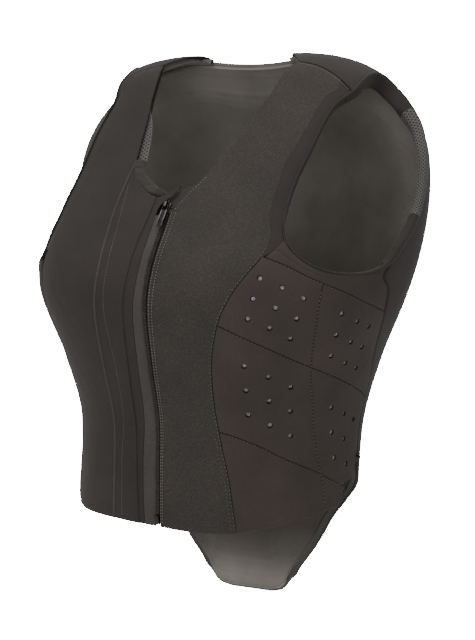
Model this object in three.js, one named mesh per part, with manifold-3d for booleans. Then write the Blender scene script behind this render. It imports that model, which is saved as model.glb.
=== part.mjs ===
// Riding body protector vest in its worn form, zipped up.
// Millimetres, +Z up, the wearer's left is +X and the front faces -Y.
// The origin lies midway between the shoulder straps, level with their undersides.
import * as THREE from 'three';
import Module from 'manifold-3d';

// Driving sizes of the form.
const FRONT_LENGTH = 475; // along the front, from the hem to the top of the shoulder
const RIDGE_HEIGHT = 430; // upright, from the hem to the top of the shoulder
const HALF_WIDTH = 193; // widest half width, under the arms
const HALF_DEPTH = 136; // deepest half depth, at the bust
const SEAT_DROP = 17; // from the top of the shoulder down to the straps' undersides

// Thicknesses and clearances.
const PANEL = 7; // foam-backed front panels and the straps
const PAD = 8; // body of a side pad, below its crown
const CROWN = 2.4; // how far a side pad swells
const SHELL = 4; // outer back fabric
const PLATE = 12.5; // back protector plate
const LINING = 2; // perforated and smooth lining strips
const FLAP_RISE = 1.2; // the storm flap stands over the front
const TAPE = 1.6; // zip tape
const SEAM = 0.7; // clearance along every seam
const LAYER = 0.4; // clearance between layers
const VENT = 5; // width of a vent hole

// Cross sections, from the tail up to the top of the shoulder.
// along: share of FRONT_LENGTH. height, droop: shares of RIDGE_HEIGHT.
// half_width: share of HALF_WIDTH. front, back, lean: shares of HALF_DEPTH.
const SECTIONS = [
  // along, height, half_width, front, back, lean, square, droop
  [-0.221, -0.233, 0.725, 0.721, 0.43, -0.331, 2.2, 0],
  [-0.095, -0.1, 0.731, 0.765, 0.472, -0.338, 2.2, 0],
  [0, 0, 0.731, 0.801, 0.542, -0.338, 2.2, 0],
  [0.105, 0.116, 0.717, 0.831, 0.625, -0.309, 2.2, 0],
  [0.2, 0.221, 0.727, 0.853, 0.701, -0.287, 2.2, 0],
  [0.316, 0.349, 0.818, 0.941, 0.768, -0.294, 2.2, 0],
  [0.421, 0.465, 0.928, 0.993, 0.822, -0.301, 2.3, 0],
  [0.495, 0.547, 0.975, 0.971, 0.831, -0.257, 2.4, 0],
  [0.579, 0.635, 0.996, 0.875, 0.838, -0.184, 2.4, 0],
  [0.674, 0.733, 1, 0.721, 0.794, -0.132, 2.4, 0.01],
  [0.768, 0.826, 0.984, 0.574, 0.662, -0.096, 2.4, 0.027],
  [0.853, 0.907, 0.93, 0.426, 0.441, -0.059, 2.4, 0.045],
  [0.926, 0.97, 0.868, 0.257, 0.221, -0.029, 2.4, 0.064],
  [1, 1, 0.84, 0, 0, 0, 2.4, 0.08],
];
const DEPTH_COLUMNS = [3, 4];

// Value of one section column at a share of the length.
// The row mirrored past the ridge lets front and back run into each other.
function column(index, along) {
  const rows = SECTIONS.map((row) => [row[0], row[index]]);
  const [last, before] = [rows[rows.length - 1], rows[rows.length - 2]];
  const sign = DEPTH_COLUMNS.includes(index) ? -1 : 1;
  rows.push([2 * last[0] - before[0], sign * before[1]]);
  const at = Math.min(Math.max(along, rows[0][0]), last[0]);
  let i = 0;
  while (i < rows.length - 3 && rows[i + 1][0] <= at) i += 1;
  const slope = (k) => {
    const low = Math.max(k - 1, 0);
    const high = Math.min(k + 1, rows.length - 1);
    return (rows[high][1] - rows[low][1]) / (rows[high][0] - rows[low][0]);
  };
  const width = rows[i + 1][0] - rows[i][0];
  const t = (at - rows[i][0]) / width;
  const [t2, t3] = [t * t, t * t * t];
  return (2 * t3 - 3 * t2 + 1) * rows[i][1] + (t3 - 2 * t2 + t) * width * slope(i)
    + (3 * t2 - 2 * t3) * rows[i + 1][1] + (t3 - t2) * width * slope(i + 1);
}

// All section sizes in millimetres at a share of the length.
function section(along) {
  return {
    height: column(1, along) * RIDGE_HEIGHT - RIDGE_HEIGHT + SEAT_DROP,
    width: column(2, along) * HALF_WIDTH,
    front: column(3, along) * HALF_DEPTH,
    back: column(4, along) * HALF_DEPTH,
    lean: column(5, along) * HALF_DEPTH,
    square: column(6, along),
    droop: column(7, along) * RIDGE_HEIGHT,
  };
}

// Point of the outer form. Angle in degrees: 0 front, 90 wearer's left, 180 back.
function formPoint(angle, along) {
  const s = section(along);
  const [sin, cos] = [Math.sin(angle * Math.PI / 180), Math.cos(angle * Math.PI / 180)];
  const rho = (Math.abs(sin) ** s.square + Math.abs(cos) ** s.square) ** (-1 / s.square);
  const across = rho * sin;
  const depth = cos >= 0 ? s.front : s.back;
  return new THREE.Vector3(
    s.width * across,
    s.lean - depth * rho * cos,
    s.height - s.droop * across ** 4,
  );
}

// Point of a strap. Across in millimetres; past is the share of length beyond the ridge.
function strapPoint(across, past) {
  const s = section(1 - Math.abs(past));
  const share = Math.min(Math.abs(across) / s.width, 1);
  const reach = (1 - share ** s.square) ** (1 / s.square);
  const depth = past < 0 ? -s.front : s.back;
  return new THREE.Vector3(across, s.lean + depth * reach, s.height - s.droop * share ** 4);
}

// A point moved off the form along its outward normal.
function lifted(point, first, second, offset) {
  const u = (step) => point(first + step[0], second + step[1]);
  const along = u([0, 0.004]).sub(u([0, -0.004]));
  const across = u([0.5, 0]).sub(u([-0.5, 0]));
  const normal = across.cross(along).normalize();
  return point(first, second).addScaledVector(normal, offset);
}

// Smooth curve through rows of [at, value] that never swings past its rows.
function curve(rows) {
  const secant = (k) => (rows[k + 1][1] - rows[k][1]) / (rows[k + 1][0] - rows[k][0]);
  const slopes = rows.map((_, k) => {
    if (k === 0) return secant(0);
    if (k === rows.length - 1) return secant(k - 1);
    const [a, b] = [secant(k - 1), secant(k)];
    return a * b <= 0 ? 0 : 2 * a * b / (a + b);
  });
  return (at) => {
    if (at <= rows[0][0]) return rows[0][1];
    if (at >= rows[rows.length - 1][0]) return rows[rows.length - 1][1];
    let i = 0;
    while (rows[i + 1][0] < at) i += 1;
    const width = rows[i + 1][0] - rows[i][0];
    const t = (at - rows[i][0]) / width;
    const [t2, t3] = [t * t, t * t * t];
    return (2 * t3 - 3 * t2 + 1) * rows[i][1] + (t3 - 2 * t2 + t) * width * slopes[i]
      + (3 * t2 - 2 * t3) * rows[i + 1][1] + (t3 - t2) * width * slopes[i + 1];
  };
}

// Closed solid from a grid of outer points over a grid of inner points.
function slab(outer, inner) {
  const [rows, cols] = [outer.length, outer[0].length];
  const positions = [...outer.flat(), ...inner.flat()].flatMap((p) => [p.x, p.y, p.z]);
  const top = (j, i) => j * cols + i;
  const under = (j, i) => rows * cols + j * cols + i;
  const faces = [];
  const quad = (a, b, c, d) => faces.push(a, b, c, a, c, d);
  for (let j = 0; j < rows - 1; j += 1) {
    for (let i = 0; i < cols - 1; i += 1) {
      quad(top(j, i), top(j, i + 1), top(j + 1, i + 1), top(j + 1, i));
      quad(under(j, i), under(j + 1, i), under(j + 1, i + 1), under(j, i + 1));
    }
  }
  for (let i = 0; i < cols - 1; i += 1) {
    quad(under(0, i), under(0, i + 1), top(0, i + 1), top(0, i));
    quad(top(rows - 1, i), top(rows - 1, i + 1), under(rows - 1, i + 1), under(rows - 1, i));
  }
  for (let j = 0; j < rows - 1; j += 1) {
    quad(top(j, 0), top(j + 1, 0), under(j + 1, 0), under(j, 0));
    quad(under(j, cols - 1), under(j + 1, cols - 1), top(j + 1, cols - 1), top(j, cols - 1));
  }
  return { positions, faces };
}

// Even shares from 0 to 1.
const even = (count) => Array.from({ length: count + 1 }, (_, k) => k / count);

// Angle and share of length at a place (a across, b along) between four edge curves.
function place(edges, a, b) {
  let along = 0.5 * (edges.bottom(edges.start) + edges.top(edges.start));
  let angle = edges.start;
  for (let turn = 0; turn < 12; turn += 1) {
    const scale = formPoint(angle + 0.5, along).distanceTo(formPoint(angle - 0.5, along));
    const inset = 0.5 * SEAM / scale;
    const rise = 0.5 * SEAM / FRONT_LENGTH;
    angle = (edges.left(along) + inset) * (1 - a) + (edges.right(along) - inset) * a;
    along = (edges.bottom(angle) + rise) * (1 - b) + (edges.top(angle) - rise) * b;
  }
  return [angle, along];
}

// Panel between four edge curves: crowned outer face, plain inner face.
function panel(edges, columns, rows, over, under, crown = 0) {
  const level = (offset, swell) => rows.map((b) => columns.map((a) => {
    const bump = swell * Math.min(1, 16 * a * (1 - a) * b * (1 - b));
    return lifted(formPoint, ...place(edges, a, b), offset + bump);
  }));
  return slab(level(over, crown), level(under, 0));
}

// Strip over the form from rows of [angle, along, angle, along], one row across each step.
function strip(rows, over, under) {
  const level = (offset) => rows.map(([a, b, c, d]) => [
    lifted(formPoint, a, b, offset),
    lifted(formPoint, (a + c) / 2, (b + d) / 2, offset),
    lifted(formPoint, c, d, offset),
  ]);
  return slab(level(over), level(under));
}

// Straight-sided block: a rectangle of the plane given by three axes, with a thickness.
function block(frame, [x0, x1], [y0, y1], [z0, z1]) {
  const at = (x, y, z) => frame.origin.clone().addScaledVector(frame.across, x)
    .addScaledVector(frame.up, y).addScaledVector(frame.out, z);
  const grid = (z) => [[at(x0, y0, z), at(x1, y0, z)], [at(x0, y1, z), at(x1, y1, z)]];
  return slab(grid(z1), grid(z0));
}

const wasm = await Module();
wasm.setup();

function toManifold({ positions, faces }) {
  const mesh = new wasm.Mesh({
    numProp: 3,
    vertProperties: new Float32Array(positions),
    triVerts: new Uint32Array(faces),
  });
  return new wasm.Manifold(mesh);
}

function fromManifold(solid) {
  const mesh = solid.getMesh();
  return { positions: Array.from(mesh.vertProperties), faces: Array.from(mesh.triVerts) };
}

// Solid with six-sided vent holes cut through it at [angle, along] places.
function vented(solid, places) {
  let body = toManifold(solid);
  for (const [angle, along] of places) {
    const ring = (offset) => Array.from({ length: 6 }, (_, k) => {
      const turn = k * Math.PI / 3;
      const scale = formPoint(angle + 0.5, along).distanceTo(formPoint(angle - 0.5, along));
      const across = 0.5 * VENT * Math.cos(turn) / scale;
      const up = 0.5 * VENT * Math.sin(turn) / FRONT_LENGTH;
      return lifted(formPoint, angle + across, along + up, offset);
    });
    const [high, low] = [ring(CROWN + 2), ring(-PAD - 2)];
    const positions = [...high, ...low].flatMap((p) => [p.x, p.y, p.z]);
    const faces = [];
    for (let k = 1; k < 5; k += 1) {
      faces.push(0, k, k + 1, 6, 6 + k + 1, 6 + k);
    }
    for (let k = 0; k < 6; k += 1) {
      const next = (k + 1) % 6;
      faces.push(k, 6 + k, 6 + next, k, 6 + next, next);
    }
    body = body.subtract(toManifold({ positions, faces }));
  }
  return fromManifold(body);
}

const group = new THREE.Group();
group.name = 'body_protector';

function add(name, solid, colour) {
  const geometry = new THREE.BufferGeometry();
  const positions = new THREE.BufferAttribute(new Float32Array(solid.positions), 3);
  geometry.setAttribute('position', positions);
  geometry.setIndex(solid.faces);
  geometry.computeVertexNormals();
  const material = new THREE.MeshStandardMaterial({ color: colour, roughness: 0.9 });
  const mesh = new THREE.Mesh(geometry, material);
  mesh.name = name;
  group.add(mesh);
}

// Edge curves. Angles in degrees at shares of the front length, or the other way round.
const hem = curve([[-75, 0.03], [-60, 0.016], [-42, 0.001], [-20, 0], [0, -0.004], [14, -0.008],
  [30, -0.006], [41, 0.004], [52, 0.012], [60, 0.021], [75, 0.034]]);
const zipEdge = () => 1.15;
const neckEdge = curve([[0.602, 1.15], [0.632, 3.6], [0.665, 7], [0.712, 11], [0.749, 14], [0.8, 17],
  [0.846, 20], [0.905, 23], [0.947, 26]]);
const leftInner = (along) => (along < 0.602 ? zipEdge() : neckEdge(along));
const leftOuter = curve([[-0.006, 31.5], [0.059, 30], [0.097, 29], [0.173, 25.5], [0.24, 23.2],
  [0.316, 22.4], [0.387, 23.5], [0.442, 26], [0.484, 29], [0.514, 31.5], [0.54, 32.6], [0.56, 32.2],
  [0.611, 30], [0.686, 30], [0.737, 32], [0.796, 35], [0.851, 38.5], [0.876, 43]]);
const shoulderSeam = curve([[22, 0.94], [26, 0.939], [32, 0.933], [38, 0.918], [43, 0.9], [48, 0.876]]);
const rightInner = curve([[-0.01, -21], [0.22, -21], [0.32, -20], [0.42, -18], [0.5, -17], [0.6, -17.6],
  [0.665, -17], [0.705, -16.3], [0.749, -16.8], [0.8, -18], [0.846, -20], [0.905, -23],
  [0.947, -26]]);
const rightOuter = curve([[0, -52], [0.1, -51], [0.316, -49], [0.42, -48], [0.49, -47.5], [0.51, -46.6],
  [0.535, -45], [0.585, -42], [0.636, -39.6], [0.69, -37.6], [0.76, -36.6], [0.82, -36.8],
  [0.86, -38.5], [0.885, -43]]);
const rightPanelOuter = curve([[0, -52], [0.1, -51], [0.316, -49], [0.42, -48], [0.49, -45.5], [0.51, -43.6],
  [0.535, -41], [0.585, -38], [0.636, -35.6], [0.69, -33.6], [0.76, -32.6], [0.82, -32.8],
  [0.86, -34.5], [0.895, -39]]);
const strapEdgeBand = curve([[0.54, 37], [0.577, 34.6], [0.611, 34], [0.65, 34], [0.695, 35], [0.749, 37],
  [0.8, 39], [0.838, 42], [0.859, 45], [0.876, 50]]);

// Lines of the strips beside the zip, on the wearer's right.
const lineB = curve([[0, -16.6], [0.11, -17], [0.2, -15.8], [0.3, -14.4], [0.38, -14.6], [0.5, -14],
  [0.6, -15], [0.66, -16]]);
const lineC = curve([[0, -8.4], [0.12, -9.6], [0.22, -10], [0.3, -9], [0.38, -8], [0.46, -7],
  [0.56, -6], [0.6, -5.4], [0.65, -5.2]]);
const lineD = curve([[0, -3.2], [0.1, -4], [0.25, -3.6], [0.4, -3.6], [0.5, -3.3], [0.6, -3.3],
  [0.612, -3], [0.63, -0.6], [0.645, 1], [0.66, 1.4]]);
const stripTop = curve([[-18, 0.7], [-16, 0.69], [-14.6, 0.672], [-11, 0.651], [-7, 0.634], [-4, 0.629]]);
const guardTop = curve([[-7, 0.629], [-4, 0.631], [-1, 0.642], [1.4, 0.656]]);

// Lines of the side pads, on the wearer's left.
const rowOne = curve([[24, 0.536], [33, 0.516], [40, 0.499], [46, 0.482], [53, 0.466], [61, 0.45],
  [70, 0.432], [85, 0.408]]);
const rowTwo = curve([[22, 0.395], [31, 0.37], [39, 0.35], [48, 0.328], [56, 0.311], [65, 0.294],
  [77, 0.272], [98, 0.236]]);
const rowThree = curve([[22, 0.19], [31, 0.177], [40, 0.16], [50, 0.136], [59, 0.118], [66, 0.105],
  [75, 0.085], [81, 0.074], [86, 0.068]]);
const padTwoLow = curve([[66, 0.105], [75, 0.086], [81, 0.076], [88, 0.078], [93, 0.092],
  [97, 0.12], [99, 0.145]]);
const sideSeam = curve([[0.02, 70], [0.07, 69.3], [0.13, 65.8], [0.2, 62.3], [0.25, 59.9], [0.3, 57],
  [0.36, 55], [0.42, 53], [0.46, 52]]);
const sideSeamRight = curve([[0.02, 70], [0.07, 69.3], [0.13, 67.6], [0.2, 66.5], [0.25, 66], [0.3, 65.5],
  [0.36, 64.5], [0.42, 63], [0.46, 62]]);
const lowCorner = curve([[0.03, 76.5], [0.05, 81], [0.08, 85]]);
const underarmFront = curve([[0.512, 33], [0.54, 36.5], [0.56, 38]]);
const underarmTop = curve([[33, 0.556], [36, 0.55], [39, 0.531], [45, 0.505], [50, 0.493], [57, 0.485],
  [63, 0.484], [70, 0.486], [76, 0.497], [82, 0.51]]);

// Back outline: half spread in degrees from the middle of the back.
const backSpread = curve([[-0.181, 19.5], [-0.147, 22.5], [-0.114, 27.5], [-0.072, 33.5], [-0.025, 39.5],
  [0.021, 50], [0.063, 66], [0.097, 78], [0.126, 82], [0.236, 82], [0.337, 90.5], [0.408, 95],
  [0.451, 98], [0.48, 104], [0.495, 103], [0.526, 99], [0.568, 91], [0.611, 86.5], [0.663, 82.5],
  [0.724, 81], [0.783, 78], [0.846, 72], [0.884, 65], [0.92, 57]]);
const rearSeam = (along) => 180 - backSpread(along);
const backBottom = curve([[-19, -0.181], [-14, -0.198], [-8, -0.204], [8, -0.204], [14, -0.198],
  [19, -0.181]]);
const backTop = curve([[-66, 0.907], [-50, 0.93], [-35, 0.952], [-23, 0.966], [-18, 0.962],
  [-12, 0.954], [-6, 0.948], [0, 0.946], [6, 0.948], [12, 0.954], [18, 0.962], [23, 0.966],
  [35, 0.952], [50, 0.93], [66, 0.907]]);
const plateSpread = curve([[-0.17, 16], [-0.147, 18.5], [-0.114, 23.5], [-0.072, 29.5], [-0.025, 35],
  [0.021, 44], [0.063, 51], [0.126, 56], [0.25, 58], [0.48, 60], [0.724, 60], [0.8, 55],
  [0.86, 49], [0.9, 43]]);
const mirror = (edge) => (at) => -edge(at);
const flipped = (edge) => (at) => edge(-at);
const constant = (value) => () => value;

// Same edges on the wearer's right.
function mirrored(edges) {
  return {
    start: -edges.start,
    left: mirror(edges.right),
    right: mirror(edges.left),
    bottom: flipped(edges.bottom),
    top: flipped(edges.top),
  };
}

const FABRIC = 0x35322f;
const KNIT = 0x3b3835;
const PADDING = 0x393230;
const LINED = 0x46423e;
const MESH = 0x2a2927;
const BLACK = 0x141414;
const METAL = 0x8c8c8a;

// Row stations shared along a seam: shares between the ends of the longer edge.
const stations = (list, from, to) => list.map((at) => (at - from) / (to - from));
const frontRows = stations([-0.006, 0.055, 0.117, 0.181, 0.233, 0.285, 0.337, 0.389, 0.42, 0.452,
  0.483, 0.514, 0.545, 0.577, 0.611, 0.65, 0.695, 0.737, 0.776, 0.81, 0.843, 0.87, 0.9], -0.006, 0.9);

// Front panels.
add('front_left', panel(
  { start: 15, left: leftInner, right: leftOuter, bottom: hem, top: shoulderSeam },
  even(7),
  frontRows,
  0,
  -PANEL,
), KNIT);
add('front_right', panel(
  { start: -34, left: rightPanelOuter, right: rightInner, bottom: hem, top: flipped(shoulderSeam) },
  even(6),
  even(18),
  0,
  -PANEL,
), FABRIC);

// Strips beside the zip.
add('flap_welt', panel(
  { start: -18, left: rightInner, right: lineB, bottom: hem, top: stripTop },
  even(1),
  even(16),
  -LAYER,
  -PANEL,
), FABRIC);
add('storm_flap', panel(
  { start: -12, left: lineB, right: lineC, bottom: hem, top: stripTop },
  even(4),
  even(14),
  FLAP_RISE,
  -PANEL,
), FABRIC);
add('zip_guard', panel(
  { start: -5, left: lineC, right: lineD, bottom: hem, top: guardTop },
  even(2),
  even(18),
  -0.5,
  -PANEL,
), FABRIC);
add('zip_tape', panel(
  { start: -2, left: lineD, right: constant(-0.95), bottom: hem, top: constant(0.595) },
  even(1),
  even(18),
  -0.7,
  -0.7 - TAPE,
), LINED);
add('zip_teeth', panel(
  { start: 0, left: constant(-0.9), right: constant(1.1), bottom: constant(0.021), top: constant(0.6) },
  even(1),
  even(18),
  0.4,
  -1.6,
), BLACK);

// Neck facing: a rolled band round the foot of the neck, and the tongue behind the zip.
add('neck_facing', strip([
  [-1.6, 0.644, -2, 0.65],
  [-4.2, 0.634, -3.6, 0.648],
  [-7.2, 0.638, -6.2, 0.654],
  [-10.8, 0.653, -8.8, 0.666],
  [-13.8, 0.67, -11, 0.68],
  [-15.5, 0.692, -12.2, 0.697],
  [-16, 0.712, -12.8, 0.712],
  [-16.2, 0.735, -12.9, 0.735],
], -LAYER, -PANEL), LINED);
add('zip_tongue', strip([
  [-1.6, 0.613, 1.2, 0.613],
  [-1.6, 0.628, 3.6, 0.632],
  [-0.6, 0.642, 7.4, 0.672],
], -PANEL - LAYER, -PANEL - LAYER - LINING), LINED);

// Side pads: three rows, each a front and a rear pad, with vent holes in the upper two.
// first, step: shares of the length below the pad's top. lean: degrees that each row moves round.
const vents = (angles, top, bottom, first, step, lean) => [0, 1, 2].flatMap((row) => (
  angles.map((angle) => [angle + lean * row, top(angle) - first - step * row])
)).filter(([angle, along]) => along > bottom(angle) + 0.014);
function side(suffix, princess, seam, turn, columns) {
  const cells = [
    // name, left, right, bottom, top, start, vent rows: first, step, lean
    ['pad_upper_front', princess, seam, rowTwo, rowOne, 44, 0.037, 0.0375, -0.35],
    ['pad_upper_rear', seam, rearSeam, rowTwo, rowOne, 70, 0.036, 0.0405, 0.8],
    ['pad_middle_front', princess, seam, rowThree, rowTwo, 45, 0.05, 0.047, 1.2],
    ['pad_middle_rear', seam, rearSeam, padTwoLow, rowTwo, 75, 0.056, 0.0495, 2.6],
  ];
  cells.forEach(([name, left, right, bottom, top, start, first, step, lean], index) => {
    const edges = turn({ start, left, right, bottom, top });
    const sign = Math.sign(edges.start);
    const holes = vents(columns[index], top, bottom, first, step, lean)
      .map(([angle, along]) => [sign * angle, along]);
    const solid = panel(edges, even(3), even(3), 0, -PAD, CROWN);
    add(`${name}_${suffix}`, vented(solid, holes), PADDING);
  });
  const lowFront = turn({ start: 45, left: princess, right: seam, bottom: hem, top: rowThree });
  add(`pad_lower_front_${suffix}`, panel(lowFront, even(4), even(3), 0, -PAD, CROWN), PADDING);
  const lowRear = turn({ start: 72, left: seam, right: lowCorner, bottom: hem, top: rowThree });
  add(`pad_lower_rear_${suffix}`, panel(lowRear, even(2), even(3), 0, -PAD, CROWN / 3), PADDING);
}
// Angles of the vent columns, pad by pad. The wearer's right has narrower front pads.
const ventsLeft = [[33, 40, 47.2], [62, 70, 77.5], [33.2, 41.6, 50.2], [70.3, 79.3, 88]];
const ventsRight = [[53.5, 59.5], [69, 75.5, 82], [53.5, 60], [72, 79.5, 87]];
side('left', leftOuter, sideSeam, (edges) => edges, ventsLeft);
side('right', (along) => -rightOuter(along), sideSeamRight, mirrored, ventsRight);

// Underarm pieces between the armhole and the first row of pads.
const underarmRear = (along) => rearSeam(along) - 0.35;
const underarm = { start: 55, left: underarmFront, right: underarmRear, bottom: rowOne, top: underarmTop };
const underarmRows = stations([0.408, 0.444, 0.48, 0.499], 0.408, 0.499);
add('underarm_left', panel(underarm, even(8), underarmRows, 0, -PAD), PADDING);
const underarmRight = mirrored({ ...underarm, left: constant(48.2) });
add('underarm_right', panel(underarmRight, even(8), underarmRows, 0, -PAD), PADDING);

// Piping round the front of each armhole.
const band = {
  start: 34,
  left: (along) => leftOuter(along) + 0.4,
  right: strapEdgeBand,
  bottom: constant(0.555),
  top: shoulderSeam,
};
add('armhole_band_left', panel(band, even(1), even(11), -0.3, -PANEL - 1), FABRIC);
const bandRight = {
  start: -37,
  left: rightOuter,
  right: (along) => rightPanelOuter(along) - 0.3,
  bottom: constant(0.515),
  top: flipped(shoulderSeam),
};
add('armhole_band_right', panel(bandRight, even(1), even(11), -0.3, -PANEL - 1), FABRIC);

// Straps over the shoulders, from the seam in front to the seam behind the neck.
// angles: places along the front seam. inner, outer: where the edges cross the ridge, as shares of
// the half width.
const strapBack = [23, 29.8, 36.6, 43.4, 50.2, 57];
function strap(name, sign, angles, inner, outer) {
  const rows = even(6).map((b) => angles.map((angle, k) => {
    const a = k / (angles.length - 1);
    const start = shoulderSeam(angle) + SEAM / FRONT_LENGTH;
    const end = backTop(strapBack[k]) + SEAM / FRONT_LENGTH;
    const past = (start - 1) * (1 - b) + (1 - end) * b;
    const across = formPoint(angle, start).x * (1 - b) ** 2
      + (inner * (1 - a) + outer * a) * HALF_WIDTH * 2 * b * (1 - b)
      + formPoint(180 - strapBack[k], end).x * b ** 2;
    return [sign * across, past];
  }));
  const lift = (offset) => rows.map((row) => {
    const points = row.map(([across, past]) => lifted(strapPoint, across, past, offset));
    return sign > 0 ? points : points.reverse();
  });
  add(name, slab(lift(0), lift(-PANEL)), FABRIC);
}
strap('strap_left', 1, [26.3, 30.5, 34.7, 38.9, 43, 49.5], 0.26, 0.735);
strap('strap_right', -1, [26.3, 29.6, 33, 36.3, 39.7, 43], 0.26, 0.605);

// Back: outer fabric with the tail, the protector plate inside it, lining strips beside it.
// All of them share rows and columns, so that the layers lie close to each other.
const backRows = stations([-0.181, -0.147, -0.114, -0.072, -0.025, 0.021, 0.063, 0.097, 0.126, 0.183,
  0.238, 0.28, 0.323, 0.365, 0.408, 0.444, 0.48, 0.499, 0.526, 0.568, 0.611, 0.663, 0.724, 0.783,
  0.82, 0.846, 0.87, 0.89, 0.907], -0.181, 0.907);

// Angle of column k at a share of the length: 6 is the plate's edge and 8 the fabric's.
function backColumn(k, along) {
  const [plate, spread] = [plateSpread(along), backSpread(along)];
  const size = Math.abs(k);
  const edge = size <= 6 ? plate * size / 6 : plate + (spread - plate) * (size - 6) / 2;
  return Math.sign(k) * edge;
}

// Layer of the back between two columns and two rows.
function backLayer(columns, rows, over, under, rise) {
  const ends = [columns[0], columns[columns.length - 1]];
  const spot = (k, b) => {
    let [angle, along] = [0, 0.3];
    for (let turn = 0; turn < 12; turn += 1) {
      const scale = formPoint(180.5 + angle, along).distanceTo(formPoint(179.5 + angle, along));
      const inset = ends.includes(k) ? 0.5 * SEAM / scale : 0;
      angle = backColumn(k, along) + (k === ends[0] ? inset : -inset);
      along = backBottom(angle) * (1 - b) + backTop(angle) * b;
      along += (b === 0 ? rise[0] : 0) - (b === 1 ? rise[1] : 0);
    }
    return [180 + angle, along];
  };
  const level = (offset) => rows.map((b) => columns.map((k) => (
    lifted(formPoint, ...spot(k, b), offset)
  )));
  return slab(level(over), level(under));
}

const columnsFrom = (low, high) => Array.from({ length: high - low + 1 }, (_, k) => low + k);
const inside = -SHELL - LAYER;
const edgeRise = 0.5 * SEAM / FRONT_LENGTH;
add('back_shell', backLayer(columnsFrom(-8, 8), backRows, 0, -SHELL, [0, edgeRise]), FABRIC);
add('back_plate', backLayer(
  columnsFrom(-6, 6),
  backRows,
  inside,
  inside - PLATE,
  [0.008, 0.016],
), LINED);
const rowsFrom = (low, high) => backRows.slice(backRows.indexOf(low), backRows.indexOf(high) + 1);
for (const [suffix, columns] of [['left', columnsFrom(-8, -6)], ['right', columnsFrom(6, 8)]]) {
  const mesh = rowsFrom(backRows[20], backRows[25]);
  const smooth = rowsFrom(backRows[17], backRows[20]);
  smooth[smooth.length - 1] -= 0.004;
  const layer = (rows) => backLayer(columns, rows, inside, inside - LINING, [0, 0]);
  add(`mesh_strip_${suffix}`, layer(mesh), MESH);
  add(`armhole_lining_${suffix}`, layer(smooth), FABRIC);
}

// Perforated binding up the right side of the neck, behind the panel's edge.
add('neck_binding', strip([
  [-16.3, 0.737, -13.4, 0.737],
  [-16.9, 0.77, -13.8, 0.77],
  [-18.1, 0.81, -15.2, 0.81],
  [-19.9, 0.85, -17.6, 0.85],
], -PANEL + 3, -PANEL), MESH);

// Zip slider with its bridge, the pull that hangs through it, and the box at the foot.
const sliderAt = 0.606;
const zipFrame = (along) => {
  const origin = formPoint(0, along);
  const up = formPoint(0, along + 0.01).sub(formPoint(0, along - 0.01)).normalize();
  const across = new THREE.Vector3(1, 0, 0);
  return { origin, up, across, out: across.clone().cross(up).normalize() };
};
const slider = zipFrame(sliderAt);
const join = (solids) => fromManifold(solids.map(toManifold).reduce((a, b) => a.add(b)));
add('zip_slider', join([
  block(slider, [-4.2, 4.2], [-6, 5], [0.9, 3]),
  block(slider, [-1.3, 1.3], [3.2, 4.6], [2.8, 6.6]),
  block(slider, [-1.3, 1.3], [-1.6, -0.4], [2.8, 6.6]),
  block(slider, [-1.3, 1.3], [-1.6, 4.6], [5.6, 6.6]),
]), METAL);
const pivot = [1.4, 4.3];
add('zip_pull', join([
  block(slider, [-3.4, 3.4], [pivot[0] - 0.6, pivot[0] + 0.6], [pivot[1] - 0.6, pivot[1] + 0.6]),
  block(slider, [-3.4, -2], [pivot[0] - 6, pivot[0] + 0.5], [pivot[1] - 0.6, pivot[1] + 0.6]),
  block(slider, [2, 3.4], [pivot[0] - 6, pivot[0] + 0.5], [pivot[1] - 0.6, pivot[1] + 0.6]),
  block(slider, [-3.4, 3.4], [pivot[0] - 22, pivot[0] - 5], [pivot[1] - 0.6, pivot[1] + 0.6]),
]), METAL);
add('zip_box', block(zipFrame(0.011), [-1.9, 2.4], [-4.6, 4], [-1.6, 1.6]), METAL);

export default group;
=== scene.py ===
# %% [markdown]
# This lesson dresses a riding body protector: a zipped vest of foam-backed stretch fabric
# with ribbed side pads, deep armholes and a back plate that ends in a tail. The CAD model
# gives the frame, and every cell below makes one kind of piece over it.

import math

import bpy
import numpy as np
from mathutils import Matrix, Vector


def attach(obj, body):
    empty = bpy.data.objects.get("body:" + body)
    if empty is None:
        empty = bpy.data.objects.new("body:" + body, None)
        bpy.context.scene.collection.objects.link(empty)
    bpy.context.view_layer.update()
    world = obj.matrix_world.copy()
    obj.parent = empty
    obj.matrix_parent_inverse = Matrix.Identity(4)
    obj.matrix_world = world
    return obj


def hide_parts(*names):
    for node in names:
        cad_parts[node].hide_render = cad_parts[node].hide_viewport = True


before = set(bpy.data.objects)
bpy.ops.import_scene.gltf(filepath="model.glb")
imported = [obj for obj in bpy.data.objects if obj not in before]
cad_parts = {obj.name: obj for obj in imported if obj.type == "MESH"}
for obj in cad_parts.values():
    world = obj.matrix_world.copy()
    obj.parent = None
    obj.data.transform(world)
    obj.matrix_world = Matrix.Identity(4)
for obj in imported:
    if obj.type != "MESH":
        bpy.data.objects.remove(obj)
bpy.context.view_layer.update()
print("CAD nodes:", len(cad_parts))

# %% [markdown]
# The vest's form is a stack of rounded cross sections, from the tail up to the shoulder.
# Each row says where it lies along the front and how wide and deep it is, as shares of the
# named sizes. A smooth curve through the rows gives every size in between. Sizes are in
# millimetres here, and only turn into metres when a mesh is written.

# %% Sizes of the form
FRONT_LENGTH = 475.0
RIDGE_HEIGHT = 430.0
HALF_WIDTH = 193.0
HALF_DEPTH = 136.0
SEAT_DROP = 17.0
PANEL = 7.0
PAD = 8.0
CROWN = 2.4
SHELL = 4.0
PLATE = 12.5
SEAM = 0.7
CLOTH_SEAM = 0.16
LAYER = 0.4
MM = 0.001

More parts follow.
